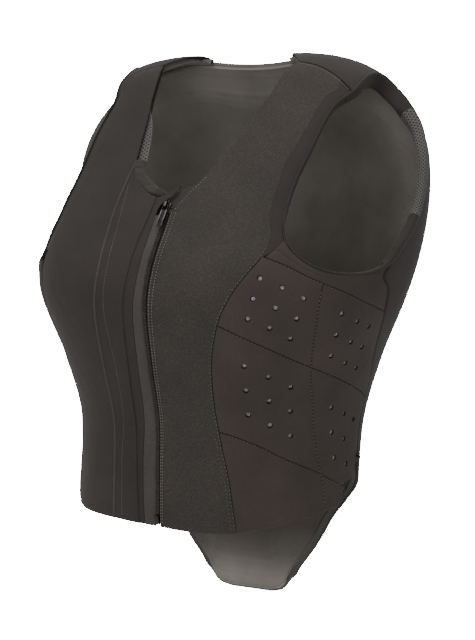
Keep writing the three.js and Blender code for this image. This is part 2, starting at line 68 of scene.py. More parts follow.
SECTIONS = np.array([
    # along, height, half_width, front, back, lean, square, droop
    [-0.221, -0.233, 0.725, 0.721, 0.43, -0.331, 2.2, 0],
    [-0.095, -0.1, 0.731, 0.765, 0.472, -0.338, 2.2, 0],
    [0, 0, 0.731, 0.801, 0.542, -0.338, 2.2, 0],
    [0.105, 0.116, 0.717, 0.831, 0.625, -0.309, 2.2, 0],
    [0.2, 0.221, 0.727, 0.853, 0.701, -0.287, 2.2, 0],
    [0.316, 0.349, 0.818, 0.941, 0.768, -0.294, 2.2, 0],
    [0.421, 0.465, 0.928, 0.993, 0.822, -0.301, 2.3, 0],
    [0.495, 0.547, 0.975, 0.971, 0.831, -0.257, 2.4, 0],
    [0.579, 0.635, 0.996, 0.875, 0.838, -0.184, 2.4, 0],
    [0.674, 0.733, 1, 0.721, 0.794, -0.132, 2.4, 0.01],
    [0.768, 0.826, 0.984, 0.574, 0.662, -0.096, 2.4, 0.027],
    [0.853, 0.907, 0.93, 0.426, 0.441, -0.059, 2.4, 0.045],
    [0.926, 0.97, 0.868, 0.257, 0.221, -0.029, 2.4, 0.064],
    [1, 1, 0.84, 0, 0, 0, 2.4, 0.08],
])


def between(at, value, slope, where):
    """Cubic curve through rows, with the slope at each row given."""
    i = np.clip(np.searchsorted(at, where, side="right") - 1, 0, len(at) - 2)
    width = at[i + 1] - at[i]
    t = (where - at[i]) / width
    return ((2 * t**3 - 3 * t**2 + 1) * value[i] + (t**3 - 2 * t**2 + t) * width * slope[i]
            + (3 * t**2 - 2 * t**3) * value[i + 1] + (t**3 - t**2) * width * slope[i + 1])


def column(index, along):
    """One size of the cross sections; a mirrored row past the ridge joins front and back."""
    sign = -1 if index in (3, 4) else 1
    at = np.append(SECTIONS[:, 0], 2 * SECTIONS[-1, 0] - SECTIONS[-2, 0])
    value = np.append(SECTIONS[:, index], sign * SECTIONS[-2, index])
    slope = np.empty_like(value)
    slope[1:-1] = (value[2:] - value[:-2]) / (at[2:] - at[:-2])
    slope[0] = (value[1] - value[0]) / (at[1] - at[0])
    slope[-1] = slope[-2]
    return between(at, value, slope, np.clip(along, at[0], 1.0))


def curve(rows):
    """Smooth curve through rows of (at, value) that never swings past them."""
    at, value = np.array(rows, float).T
    secant = np.diff(value) / np.diff(at)
    slope = np.empty_like(value)
    slope[0], slope[-1] = secant[0], secant[-1]
    a, b = secant[:-1], secant[1:]
    together = a * b > 0
    slope[1:-1] = np.where(together, 2 * a * b / np.where(together, a + b, 1), 0)
    return lambda where: between(at, value, slope, np.clip(where, at[0], at[-1]))


def form_point(angle, along):
    """Point of the outer form: angle 0 is the front, 90 the wearer's left, 180 the back."""
    angle, along = np.broadcast_arrays(np.asarray(angle, float), np.asarray(along, float))
    height, width, front, back, lean, square, droop = [column(k, along) for k in range(1, 8)]
    sin, cos = np.sin(np.radians(angle)), np.cos(np.radians(angle))
    rho = (np.abs(sin)**square + np.abs(cos)**square)**(-1 / square)
    depth = np.where(cos >= 0, front, back)
    x = width * HALF_WIDTH * rho * sin
    y = (lean - depth * rho * cos) * HALF_DEPTH
    z = (height - 1 - droop * (rho * sin)**4) * RIDGE_HEIGHT + SEAT_DROP
    return np.stack([x, y, z], -1)


def strap_point(across, past):
    """Point of a strap: across in millimetres, past the ridge as a share of the length."""
    across, past = np.broadcast_arrays(np.asarray(across, float), np.asarray(past, float))
    along = 1 - np.abs(past)
    height, width, front, back, lean, square, droop = [column(k, along) for k in range(1, 8)]
    share = np.clip(np.abs(across) / (width * HALF_WIDTH), 0, 1)
    reach = (1 - share**square)**(1 / square)
    y = (lean + np.where(past < 0, -front, back) * reach) * HALF_DEPTH
    z = (height - 1 - droop * share**4) * RIDGE_HEIGHT + SEAT_DROP
    return np.stack([across, y, z], -1)


def normal_of(point, first, second):
    """Outward normal of the form or of a strap."""
    along = point(first, second + 0.004) - point(first, second - 0.004)
    across = point(first + 0.5, second) - point(first - 0.5, second)
    normal = np.cross(across, along)
    return normal / (np.linalg.norm(normal, axis=-1, keepdims=True) + 1e-12)


def lifted(point, first, second, offset):
    first, second = np.broadcast_arrays(np.asarray(first, float), np.asarray(second, float))
    offset = np.asarray(offset, float)
    if offset.ndim:
        offset = offset[..., None]
    return point(first, second) + normal_of(point, first, second) * offset


print("Shoulder ridge at", np.round(form_point(0, 1.0), 1))

# %% [markdown]
# Seams and edges are short tables too: an angle round the body at a share of the front
# length, or the other way round. Panels that share a seam read the same curve, so they
# always meet.

# %% Seams and edges
ZIP_EDGE = 1.15       # degrees: the left panel's front edge
NECK_FOOT = 0.602     # share of the front length: the neck's edge starts here

hem = curve([[-75, 0.03], [-60, 0.016], [-42, 0.001], [-20, 0], [0, -0.004], [14, -0.008],
             [30, -0.006], [41, 0.004], [52, 0.012], [60, 0.021], [75, 0.034]])
neck_edge = curve([[0.602, 1.15], [0.632, 3.6], [0.665, 7], [0.712, 11], [0.749, 14],
                   [0.8, 17], [0.846, 20], [0.905, 23], [0.947, 26]])
left_outer = curve([[-0.006, 31.5], [0.059, 30], [0.097, 29], [0.173, 25.5], [0.24, 23.2],
                    [0.316, 22.4], [0.387, 23.5], [0.442, 26], [0.484, 29], [0.514, 31.5],
                    [0.54, 32.6], [0.56, 32.2], [0.611, 30], [0.686, 30], [0.737, 32],
                    [0.796, 35], [0.851, 38.5], [0.876, 43]])
shoulder_seam = curve([[22, 0.94], [26, 0.939], [32, 0.933], [38, 0.918], [43, 0.9],
                       [48, 0.876]])
right_inner = curve([[-0.01, -21], [0.22, -21], [0.32, -20], [0.42, -18], [0.5, -17],
                     [0.6, -17.6], [0.665, -17], [0.705, -16.3], [0.749, -16.8], [0.8, -18],
                     [0.846, -20], [0.905, -23], [0.947, -26]])
right_outer = curve([[0, -52], [0.1, -51], [0.316, -49], [0.42, -48], [0.49, -47.5],
                     [0.51, -46.6], [0.535, -45], [0.585, -42], [0.636, -39.6],
                     [0.69, -37.6], [0.76, -36.6], [0.82, -36.8], [0.86, -38.5],
                     [0.885, -43]])
right_panel_outer = curve([[0, -52], [0.1, -51], [0.316, -49], [0.42, -48], [0.49, -45.5],
                           [0.51, -43.6], [0.535, -41], [0.585, -38], [0.636, -35.6],
                           [0.69, -33.6], [0.76, -32.6], [0.82, -32.8], [0.86, -34.5],
                           [0.895, -39]])
band_edge = curve([[0.54, 37], [0.577, 34.6], [0.611, 34], [0.65, 34], [0.695, 35],
                   [0.749, 37], [0.8, 39], [0.838, 42], [0.859, 45], [0.876, 50]])
line_b = curve([[0, -16.6], [0.11, -17], [0.2, -15.8], [0.3, -14.4], [0.38, -14.6],
                [0.5, -14], [0.6, -15], [0.66, -16]])
line_c = curve([[0, -8.4], [0.12, -9.6], [0.22, -10], [0.3, -9], [0.38, -8], [0.46, -7],
                [0.56, -6], [0.6, -5.4], [0.65, -5.2]])
line_d = curve([[0, -3.2], [0.1, -4], [0.25, -3.6], [0.4, -3.6], [0.5, -3.3], [0.6, -3.3],
                [0.612, -3], [0.63, -0.6], [0.645, 1], [0.66, 1.4]])
strip_top = curve([[-18, 0.7], [-16, 0.69], [-14.6, 0.672], [-11, 0.651], [-7, 0.634],
                   [-4, 0.629]])
guard_top = curve([[-7, 0.629], [-4, 0.631], [-1, 0.642], [1.4, 0.656]])
row_one = curve([[24, 0.536], [33, 0.516], [40, 0.499], [46, 0.482], [53, 0.466],
                 [61, 0.45], [70, 0.432], [85, 0.408]])
row_two = curve([[22, 0.395], [31, 0.37], [39, 0.35], [48, 0.328], [56, 0.311],
                 [65, 0.294], [77, 0.272], [98, 0.236]])
row_three = curve([[22, 0.19], [31, 0.177], [40, 0.16], [50, 0.136], [59, 0.118],
                   [66, 0.105], [75, 0.085], [81, 0.074], [86, 0.068]])
middle_low = curve([[66, 0.105], [75, 0.086], [81, 0.076], [88, 0.078], [93, 0.092],
                    [97, 0.12], [99, 0.145]])
side_seam = curve([[0.02, 70], [0.07, 69.3], [0.13, 65.8], [0.2, 62.3], [0.25, 59.9],
                   [0.3, 57], [0.36, 55], [0.42, 53], [0.46, 52]])
side_seam_right = curve([[0.02, 70], [0.07, 69.3], [0.13, 67.6], [0.2, 66.5], [0.25, 66],
                         [0.3, 65.5], [0.36, 64.5], [0.42, 63], [0.46, 62]])
low_corner = curve([[0.03, 76.5], [0.05, 81], [0.08, 85]])
underarm_front = curve([[0.512, 33], [0.54, 36.5], [0.56, 38]])
underarm_top = curve([[33, 0.556], [36, 0.55], [39, 0.531], [45, 0.505], [50, 0.493],
                      [57, 0.485], [63, 0.484], [70, 0.486], [76, 0.497], [82, 0.51]])
back_spread = curve([[-0.181, 19.5], [-0.147, 22.5], [-0.114, 27.5], [-0.072, 33.5],
                     [-0.025, 39.5], [0.021, 50], [0.063, 66], [0.097, 78], [0.126, 82],
                     [0.236, 82], [0.337, 90.5], [0.408, 95], [0.451, 98], [0.48, 104],
                     [0.495, 103], [0.526, 99], [0.568, 91], [0.611, 86.5], [0.663, 82.5],
                     [0.724, 81], [0.783, 78], [0.846, 72], [0.884, 65], [0.92, 57]])
back_bottom = curve([[-19, -0.181], [-14, -0.198], [-8, -0.204], [8, -0.204],
                     [14, -0.198], [19, -0.181]])
back_top = curve([[-66, 0.907], [-50, 0.93], [-35, 0.952], [-23, 0.966], [-18, 0.962],
                  [-12, 0.954], [-6, 0.948], [0, 0.946], [6, 0.948], [12, 0.954],
                  [18, 0.962], [23, 0.966], [35, 0.952], [50, 0.93], [66, 0.907]])
plate_spread = curve([[-0.17, 16], [-0.147, 18.5], [-0.114, 23.5], [-0.072, 29.5],
                      [-0.025, 35], [0.021, 44], [0.063, 51], [0.126, 56], [0.25, 58],
                      [0.48, 60], [0.724, 60], [0.8, 55], [0.86, 49], [0.9, 43]])


def constant(value):
    return lambda where: np.full_like(np.asarray(where, float), value)


def left_inner(along):
    return np.where(along < NECK_FOOT, ZIP_EDGE, neck_edge(along))


def rear_seam(along):
    return 180 - back_spread(along)


def flipped(edge):
    return lambda where: edge(-where)


def mirrored(edges):
    """The same panel on the wearer's right."""
    return {
        "start": -edges["start"],
        "left": lambda along: -edges["right"](along),
        "right": lambda along: -edges["left"](along),
        "bottom": flipped(edges["bottom"]),
        "top": flipped(edges["top"]),
    }


def place(edges, a, b):
    """Angle and share of the length at a place between four edges."""
    angle = np.full_like(a, float(edges["start"]))
    along = 0.5 * (edges["bottom"](angle) + edges["top"](angle))
    rise = 0.5 * CLOTH_SEAM / FRONT_LENGTH
    for _ in range(12):
        scale = np.linalg.norm(form_point(angle + 0.5, along) - form_point(angle - 0.5, along),
                               axis=-1)
        inset = 0.5 * CLOTH_SEAM / scale
        angle = (edges["left"](along) + inset) * (1 - a) + (edges["right"](along) - inset) * a
        along = (edges["bottom"](angle) + rise) * (1 - b) + (edges["top"](angle) - rise) * b
    return angle, along


print("Neck corner at", np.round(form_point(26, 0.939), 1))

# %% [markdown]
# Cloth has grain at the size of a thread, which no mesh can hold. So the grain is a shader
# node group that every fabric shares: fine noise mixed with speckles gives a colour factor
# and a height for the bump. A second group draws rows of small round holes, for the
# perforated lining.

# %% Shared shader groups


def add_node(tree, kind, place_at, inputs=None, **settings):
    node = tree.nodes.new(kind)
    node.location = place_at
    for name, value in settings.items():
        setattr(node, name, value)
    for name, value in (inputs or {}).items():
        node.inputs[name].default_value = value
    return node


def connect(tree, *wires):
    """Each wire names a node, its output, the next node and its input."""
    for source, output, target, entry in wires:
        tree.links.new(source.outputs[output], target.inputs[entry])


def new_group(name, inputs, outputs):
    group = bpy.data.node_groups.new(name, "ShaderNodeTree")
    for direction, sockets in (("INPUT", inputs), ("OUTPUT", outputs)):
        for label, kind in sockets.items():
            group.interface.new_socket(label, in_out=direction,
                                       socket_type="NodeSocket" + kind)
    return (group, add_node(group, "NodeGroupInput", (-900, 0)),
            add_node(group, "NodeGroupOutput", (700, 0)))


def make_grain_group():
    """Speckled knit: inputs are the thread size and how far the colour varies."""
    group, enter, leave = new_group(
        "knit_grain",
        {"Base": "Color", "Speckle": "Color", "Thread Scale": "Float", "Variation": "Float"},
        {"Color": "Color", "Height": "Float", "Roughness": "Float"})
    where = add_node(group, "ShaderNodeTexCoord", (-900, -300))
    thread = add_node(group, "ShaderNodeTexNoise", (-600, 200), {"Detail": 3})
    cloud = add_node(group, "ShaderNodeTexNoise", (-600, -250), {"Scale": 22, "Detail": 4})
    fleck = add_node(group, "ShaderNodeMapRange", (-350, 200),
                     {"From Min": 0.44, "From Max": 0.66})
    shade = add_node(group, "ShaderNodeMapRange", (-350, -250),
                     {"From Min": 0.3, "From Max": 0.7})
    weigh = add_node(group, "ShaderNodeMath", (-120, 100), operation="MULTIPLY")
    mix = add_node(group, "ShaderNodeMix", (100, 100), data_type="RGBA")
    deep = add_node(group, "ShaderNodeMix", (320, 0), data_type="RGBA", blend_type="MULTIPLY")
    deep.inputs["Factor"].default_value = 1.0
    tint = add_node(group, "ShaderNodeMapRange", (100, -200), {"To Min": 0.86, "To Max": 1.1})
    rough = add_node(group, "ShaderNodeMapRange", (100, -450),
                     {"To Min": 0.78, "To Max": 0.95})
    connect(group,
            (where, "Object", thread, "Vector"), (where, "Object", cloud, "Vector"),
            (enter, "Thread Scale", thread, "Scale"), (thread, "Fac", fleck, "Value"),
            (cloud, "Fac", shade, "Value"), (fleck, "Result", weigh, 0),
            (enter, "Variation", weigh, 1), (weigh, "Value", mix, "Factor"),
            (enter, "Base", mix, "A"), (enter, "Speckle", mix, "B"),
            (shade, "Result", tint, "Value"), (mix, "Result", deep, "A"),
            (tint, "Result", deep, "B"), (thread, "Fac", rough, "Value"),
            (deep, "Result", leave, "Color"), (fleck, "Result", leave, "Height"),
            (rough, "Result", leave, "Roughness"))
    return group


def make_dots_group():
    """Staggered round holes in the piece's own map, which is in metres."""
    group, enter, leave = new_group("lining_dots", {"Pitch": "Float", "Radius": "Float"},
                                    {"Hole": "Float"})
    where = add_node(group, "ShaderNodeUVMap", (-900, -250), uv_map="cloth")
    scaled = add_node(group, "ShaderNodeVectorMath", (-680, 0), operation="DIVIDE")
    pitch = add_node(group, "ShaderNodeCombineXYZ", (-900, 150), {"Z": 1.0})
    connect(group, (enter, "Pitch", pitch, "X"), (enter, "Pitch", pitch, "Y"),
            (where, "UV", scaled, 0), (pitch, "Vector", scaled, 1))
    least = add_node(group, "ShaderNodeMath", (450, 0), operation="MINIMUM")
    steps = [
        # operation, its second value
        ("ADD", None), ("FRACTION", None), ("SUBTRACT", (0.5, 0.5, 0)),
        ("MULTIPLY", (1, 1, 0)), ("LENGTH", None),
    ]
    for k, shift in enumerate((0.0, 0.5)):
        before = scaled
        for column_at, (operation, second) in enumerate(steps):
            node = add_node(group, "ShaderNodeVectorMath",
                            (-460 + 190 * column_at, 200 - 300 * k), operation=operation)
            if operation == "ADD":
                second = (shift, shift, 0)
            if second:
                node.inputs[1].default_value = second
            connect(group, (before, "Vector", node, 0))
            before = node
        connect(group, (before, "Value", least, k))
    hole = add_node(group, "ShaderNodeMath", (580, 0), operation="LESS_THAN")
    connect(group, (least, "Value", hole, 0), (enter, "Radius", hole, 1),
            (hole, "Value", leave, "Hole"))
    return group


grain = make_grain_group()
dots = make_dots_group()
print("Groups:", grain.name, dots.name)

# %% [markdown]
# Each fabric is one material: its own base colour, speckle colour, thread size and sheen.
# Stretch fabric is matt with a soft sheen at glancing angles, lining satin is smoother, and
# the perforated lining is the same cloth with dark dots.

# %% Fabric materials


def new_material(name, base, speckle, thread, variation):
    """A material with the grain group in it, and the three nodes that the rest uses."""
    material = bpy.data.materials.new(name)
    material.use_nodes = True
    tree = material.node_tree
    texture = add_node(tree, "ShaderNodeGroup", (-600, 100),
                       {"Base": (*base, 1), "Speckle": (*speckle, 1), "Thread Scale": thread,
                        "Variation": variation}, node_tree=grain)
    return material, tree, tree.nodes["Principled BSDF"], texture


def cloth_material(name, base, speckle, thread, variation, sheen=0.07, bump=0.12, holes=None):
    material, tree, shader, texture = new_material(name, base, speckle, thread, variation)
    shader.inputs["Sheen Weight"].default_value = sheen
    shader.inputs["Sheen Roughness"].default_value = 0.45
    shader.inputs["Specular IOR Level"].default_value = 0.25
    relief = add_node(tree, "ShaderNodeBump", (-300, -250),
                      {"Strength": bump, "Distance": 0.0006})
    connect(tree, (texture, "Height", relief, "Height"), (relief, "Normal", shader, "Normal"),
            (texture, "Roughness", shader, "Roughness"),
            (texture, "Color", shader, "Base Color"))
    if holes:
        pattern = add_node(tree, "ShaderNodeGroup", (-600, -250),
                           {"Pitch": holes[0], "Radius": holes[1]}, node_tree=dots)
        dark = add_node(tree, "ShaderNodeMix", (-250, 150), data_type="RGBA")
        dark.inputs["B"].default_value = (0.004, 0.004, 0.004, 1)
        connect(tree, (pattern, "Hole", dark, "Factor"), (texture, "Color", dark, "A"),
                (dark, "Result", shader, "Base Color"))
    return material


def plain_material(name, base, speckle_tint, rough, metallic=0.0, scale=900.0):
    """Small hard parts and thread: a colour that varies a little with the grain."""
    material, tree, shader, texture = new_material(name, base, speckle_tint, scale, 0.6)
    shader.inputs["Metallic"].default_value = metallic
    worn = add_node(tree, "ShaderNodeMapRange", (-300, -100),
                    {"To Min": rough - 0.08, "To Max": rough + 0.08})
    connect(tree, (texture, "Color", shader, "Base Color"), (texture, "Height", worn, "Value"),
            (worn, "Result", shader, "Roughness"))
    return material


def painted_light_by_height(material, stops):
    """Multiplies the cloth's colour by one that changes with height: painted light at the top,
    painted shade in the hollow, and a paler painted light at the end of the tail."""
    tree = material.node_tree
    shader = tree.nodes["Principled BSDF"]
    before = shader.inputs["Base Color"].links[0].from_socket
    low, high = stops[0][0], stops[-1][0]
    where = add_node(tree, "ShaderNodeTexCoord", (-900, 500))
    split = add_node(tree, "ShaderNodeSeparateXYZ", (-700, 500))
    level = add_node(tree, "ShaderNodeMapRange", (-520, 500),
                     {"From Min": low, "From Max": high})
    ramp = add_node(tree, "ShaderNodeValToRGB", (-340, 500))
    elements = ramp.color_ramp.elements
    for index, (height, *colour) in enumerate(stops):
        share = (height - low) / (high - low)
        stop = elements[index] if index < 2 else elements.new(share)
        stop.position = share
        stop.color = (*colour, 1)
    blend = add_node(tree, "ShaderNodeMix", (-60, 350), data_type="RGBA", blend_type="MULTIPLY")
    blend.inputs["Factor"].default_value = 1.0
    tree.links.new(before, blend.inputs["A"])
    connect(tree, (where, "Object", split, "Vector"), (split, "Z", level, "Value"),
            (level, "Result", ramp, "Fac"), (ramp, "Color", blend, "B"),
            (blend, "Result", shader, "Base Color"))


KNIT = cloth_material("front_knit", (0.029, 0.0242, 0.0208), (0.085, 0.075, 0.067), 1300, 0.5)
SMOOTH = cloth_material("smooth_stretch", (0.0275, 0.0225, 0.0195), (0.053, 0.045, 0.04), 1700,
                        0.45)
PAD_CLOTH = cloth_material("pad_cloth", (0.041, 0.0318, 0.0278), (0.07, 0.056, 0.05), 1700,
                           0.4, sheen=0.04)
SATIN = cloth_material("back_lining", (0.94, 0.94, 0.94), (1.0, 1.0, 1.0), 2200, 0.1,
                       sheen=0.1, bump=0.04)
# painted light and shade on the lining: lighter at the top and at the tail's end, darker in the
# hollow
painted_light_by_height(SATIN, [
    # height, red, green, blue
    (-0.52, 0.27, 0.247, 0.218),
    (-0.49, 0.25, 0.228, 0.2),
    (-0.465, 0.12, 0.108, 0.096),
    (-0.435, 0.066, 0.058, 0.051),
    (-0.22, 0.075, 0.067, 0.057),
    (-0.16, 0.125, 0.112, 0.096),
    (-0.1, 0.19, 0.172, 0.15),
    (0.03, 0.2, 0.183, 0.16),
])
FACING = cloth_material("facing_satin", (0.03, 0.0262, 0.0235), (0.056, 0.05, 0.0455), 2200, 0.3,
                        sheen=0.2, bump=0.05)
BINDING = cloth_material("binding_stretch", (0.0255, 0.0215, 0.019), (0.049, 0.042, 0.038),
                         2000, 0.3, sheen=0.1)
DOTTED = cloth_material("perforated_lining", (0.1, 0.094, 0.087), (0.15, 0.14, 0.13), 2200, 0.3,
                        holes=(0.0034, 0.2))
# the tape's cloth is paler: partly its own colour, partly a painted highlight on the raised band
TAPE_CLOTH = cloth_material("zip_tape_cloth", (0.046, 0.04, 0.036), (0.1, 0.088, 0.08), 1400,
                            0.5)
# a paler copy of the shell cloth: painted light on the tail's shaded edge
TAIL_EDGE_PAINTED_LIGHT = cloth_material("tail_edge_painted_light", (0.085, 0.08, 0.07), (0.13, 0.122, 0.11), 1900, 0.3)
# near-black sheet behind the seams: painted shade in the gaps
GAP_SHADE_CLOTH = cloth_material("painted_gap_shade", (0.012, 0.011, 0.01), (0.02, 0.018, 0.017), 2500, 0.4)
THREAD = plain_material("light_thread", (0.17, 0.155, 0.142), (0.3, 0.28, 0.262), 0.75)
DARK_THREAD = plain_material("dark_thread", (0.075, 0.063, 0.056), (0.13, 0.115, 0.105), 0.8)
VENT_DISC = plain_material("vent_disc", (0.2, 0.19, 0.185), (0.75, 0.73, 0.72), 0.3, scale=420.0)
COIL = plain_material("zip_coil", (0.022, 0.019, 0.017), (0.08, 0.073, 0.066), 0.4)
METAL = plain_material("dark_metal", (0.045, 0.042, 0.04), (0.08, 0.077, 0.074), 0.38, 1.0,
                       scale=300.0)
# pale metal for painted highlights: the pull's rims and the slider's crown
BRIGHT = plain_material("painted_highlight_metal", (0.2, 0.195, 0.19), (0.3, 0.295, 0.29), 0.3, 1.0,
                        scale=300.0)
print("Materials:", len(bpy.data.materials))

# %% [markdown]
# A fabric panel starts as a plain grid. Its columns and rows are counted as shares from 0
# to 1, each share is looked up between the panel's four edges, and the vertex moves there.
# Near its border the face rolls down by a small radius, as turned-in fabric does, and
# Solidify then gives the panel its thickness.

# %% Panel helpers
made = []


def deselect():
    if bpy.context.object and bpy.context.object.mode != "OBJECT":
        bpy.ops.object.mode_set(mode="OBJECT")
    bpy.ops.object.select_all(action="DESELECT")


def activate(*pieces):
    """Selects just these pieces and makes the first one active."""
    deselect()
    for piece in pieces:
        piece.select_set(True)
    bpy.context.view_layer.objects.active = pieces[0]


def edit_whole(piece, operation, **settings):
    """Runs one operation on the whole mesh in edit mode."""
    activate(piece)
    bpy.ops.object.mode_set(mode="EDIT")
    bpy.ops.mesh.select_all(action="SELECT")
    operation(**settings)
    bpy.ops.object.mode_set(mode="OBJECT")


def join(pieces):
    activate(*pieces)
    if len(pieces) > 1:
        bpy.ops.object.join()
    return bpy.context.object


def new_mesh(name, points, faces):
    """A piece from points in millimetres and lists of their numbers."""
    mesh = bpy.data.meshes.new(name)
    mesh.from_pydata((points * MM).tolist(), [], faces)
    piece = bpy.data.objects.new(name, mesh)
    bpy.context.collection.objects.link(piece)
    return piece


def new_grid(name, columns, rows):
    deselect()
    bpy.ops.mesh.primitive_grid_add(x_subdivisions=columns, y_subdivisions=rows, size=1,
                                    location=(0, 0, 0))
    piece = bpy.context.object
    piece.name = name
    piece.data.name = name
    return piece


def read_points(mesh):
    flat = np.empty(len(mesh.vertices) * 3)
    mesh.vertices.foreach_get("co", flat)
    return flat.reshape(-1, 3)


def write_points(mesh, points):
    mesh.vertices.foreach_set("co", np.asarray(points, float).ravel())
    mesh.update()


def gathered(share, pull=0.62):
    """Shares drawn towards both ends, so that borders get the finest rows."""
    return share - pull * np.sin(2 * np.pi * share) / (2 * np.pi)


def border_drop(distance, radius):
    """How far a rolled border falls at a distance in from it."""
    inside = np.clip(radius - distance, 0, radius)
    return radius - np.sqrt(np.maximum(radius**2 - inside**2, 0))


def map_cloth(piece, across, along):
    """The piece's own map, in metres, for patterns that follow the cloth."""
    mesh = piece.data
    layer = mesh.uv_layers.active or mesh.uv_layers.new()
    layer.name = "cloth"
    loops = np.empty(len(mesh.loops), int)
    mesh.loops.foreach_get("vertex_index", loops)
    layer.data.foreach_set("uv", np.stack([across[loops], along[loops]], -1).ravel())


def finish_piece(piece, material, body="vest", angle=50, replaces=()):
    activate(piece)
    bpy.ops.object.shade_smooth_by_angle(angle=math.radians(angle))
    piece.data.materials.clear()
    piece.data.materials.append(material)
    if replaces:
        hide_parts(*replaces)
    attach(piece, body)
    made.append(piece.name)
    return piece


def apply_modifier(piece, kind, **settings):
    activate(piece)
    modifier = piece.modifiers.new(kind.title(), kind)
    for name, value in settings.items():
        setattr(modifier, name, value)
    bpy.ops.object.modifier_apply(modifier=modifier.name)


def surface_grid(name, edges, columns, rows, over, roll=2.0, crown=0.0, shape=None):
    """Outer face of a panel: a grid laid between its edges and rolled at its border."""
    piece = new_grid(name, columns, rows)
    grid = read_points(piece.data)
    a, b = gathered(grid[:, 0] + 0.5), gathered(grid[:, 1] + 0.5)
    angle, along = place(edges, a, b)
    width = np.linalg.norm(form_point(*place(edges, a * 0 + 1, b))
                           - form_point(*place(edges, a * 0, b)), axis=-1)
    length = np.linalg.norm(form_point(*place(edges, a, b * 0 + 1))
                            - form_point(*place(edges, a, b * 0)), axis=-1)
    distance = np.minimum(np.minimum(a, 1 - a) * width, np.minimum(b, 1 - b) * length)
    offset = over - border_drop(distance, roll)
    offset = offset + crown * np.clip(distance / 14, 0, 1)**0.7
    if shape:
        offset = offset + shape(angle, along, a, b)
    points = lifted(form_point, angle, along, offset)
    write_points(piece.data, points * MM)
    map_cloth(piece, a * width * MM, along * FRONT_LENGTH * MM)
    return piece, angle, along, a, b


def thicken(piece, thickness, weights=None):
    """Gives a face its thickness, inwards; weights thin it down at some of its points."""
    if weights is None:
        apply_modifier(piece, "SOLIDIFY", thickness=thickness * MM, offset=-1.0, use_rim=True)
        return
    group = piece.vertex_groups.new(name="thickness")
    for level in range(21):
        members = [int(k) for k in np.nonzero(np.round(weights * 20) == level)[0]]
        group.add(members, level / 20, "REPLACE")
    apply_modifier(piece, "SOLIDIFY", thickness=thickness * MM, offset=-1.0, use_rim=True,
                   vertex_group="thickness")
    piece.vertex_groups.remove(piece.vertex_groups["thickness"])


# %% [markdown]
# The two front panels are foam-backed knit, so they are padded pieces. They stay nearly
# smooth, with slow shallow waves where the cloth eases over the foam, a pinched row where
# the zip's stitching holds it, and a faint pull towards each seam.

# %% Front panels
MM_PER_DEGREE = 2.3   # across the form, beside the zip


def easing(angle, along, a, b):
    """Slow, shallow unevenness of foam-backed cloth, in millimetres."""
    wave = np.sin(angle * 0.19 + along * 9) * np.sin(along * 23 - angle * 0.11)
    fine = np.sin(angle * 0.53 + along * 31) * np.sin(along * 57 + angle * 0.37)
    middle = np.clip(16 * a * (1 - a) * b * (1 - b), 0, 1)
    return (0.35 * wave + 0.12 * fine) * middle


def zip_pinch(angle, along, a, b):
    """A pinched row along the zip, as far up as its stitches go."""
    from_edge = (angle - ZIP_EDGE) * MM_PER_DEGREE
    pinch = -0.7 * np.exp(-((from_edge - 3.4) / 1.1)**2) * (along < 0.6)
    return easing(angle, along, a, b) + pinch


left_edges = {"start": 15, "left": left_inner, "right": left_outer, "bottom": hem,
              "top": shoulder_seam}
piece, *_ = surface_grid("front_left_cloth", left_edges, 84, 190, 0.0, roll=0.7,
                         shape=zip_pinch)
thicken(piece, PANEL - 0.6)
finish_piece(piece, KNIT, replaces=["front_left"])

right_edges = {"start": -34, "left": right_panel_outer, "right": right_inner, "bottom": hem,
               "top": flipped(shoulder_seam)}
piece, *_ = surface_grid("front_right_cloth", right_edges, 70, 190, 0.2, roll=1.0,
                         shape=easing)
thicken(piece, PANEL - 0.6)
finish_piece(piece, SMOOTH, replaces=["front_right"])
print("Front panels:", made)

# %% [markdown]
# Beside the zip, on the wearer's right, lie three flat strips: a narrow welt, a broad storm
# flap that stands a little higher, and the guard that runs under the flap and up into the
# tip above the slider. Each is a long panel with finely rolled edges.

# %% Strips beside the zip


def tape_left(along):
    """The grainy tape shows wider towards the hem."""
    return line_d(along) - 2.6 * np.clip((0.45 - along) / 0.3, 0, 1)


strips = [
    # name, node, start, left and right edge, top edge, columns, over, roll, crown
    ("flap_welt_cloth", "flap_welt", -18, right_inner, line_b, strip_top, 14, -0.1, 0.7, 0.1),
    ("storm_flap_cloth", "storm_flap", -12, line_b, lambda along: line_c(along) + 0.35,
     strip_top, 34, 0.7, 1.0, 0.2),
    ("zip_guard_cloth", "zip_guard", -5, line_c, tape_left, guard_top, 26, -0.45, 0.6, 0.0),
]
for name, node, start, left, right, top, columns, over, roll, crown in strips:
    edges = {"start": start, "left": left, "right": right, "bottom": hem, "top": top}
    piece, _, along, _, _ = surface_grid(name, edges, columns, 170, over, roll=roll, crown=crown)
    # the strips thin out at the top, where the guard ends in a tip
    thicken(piece, PANEL - 1.0, 1 - 0.8 * np.clip((along - 0.612) / 0.02, 0, 1))
    finish_piece(piece, SMOOTH, replaces=[node])

tape_edges = {"start": -2, "left": tape_left, "right": constant(-0.45), "bottom": hem,
              "top": constant(0.595)}
piece, *_ = surface_grid("zip_tape_cloth_strip", tape_edges, 16, 170, -0.6, roll=0.6, crown=1.0)
thicken(piece, 1.6)
# paler tape cloth: partly its own colour, partly a painted highlight on the raised band
finish_piece(piece, TAPE_CLOTH, replaces=["zip_tape"])


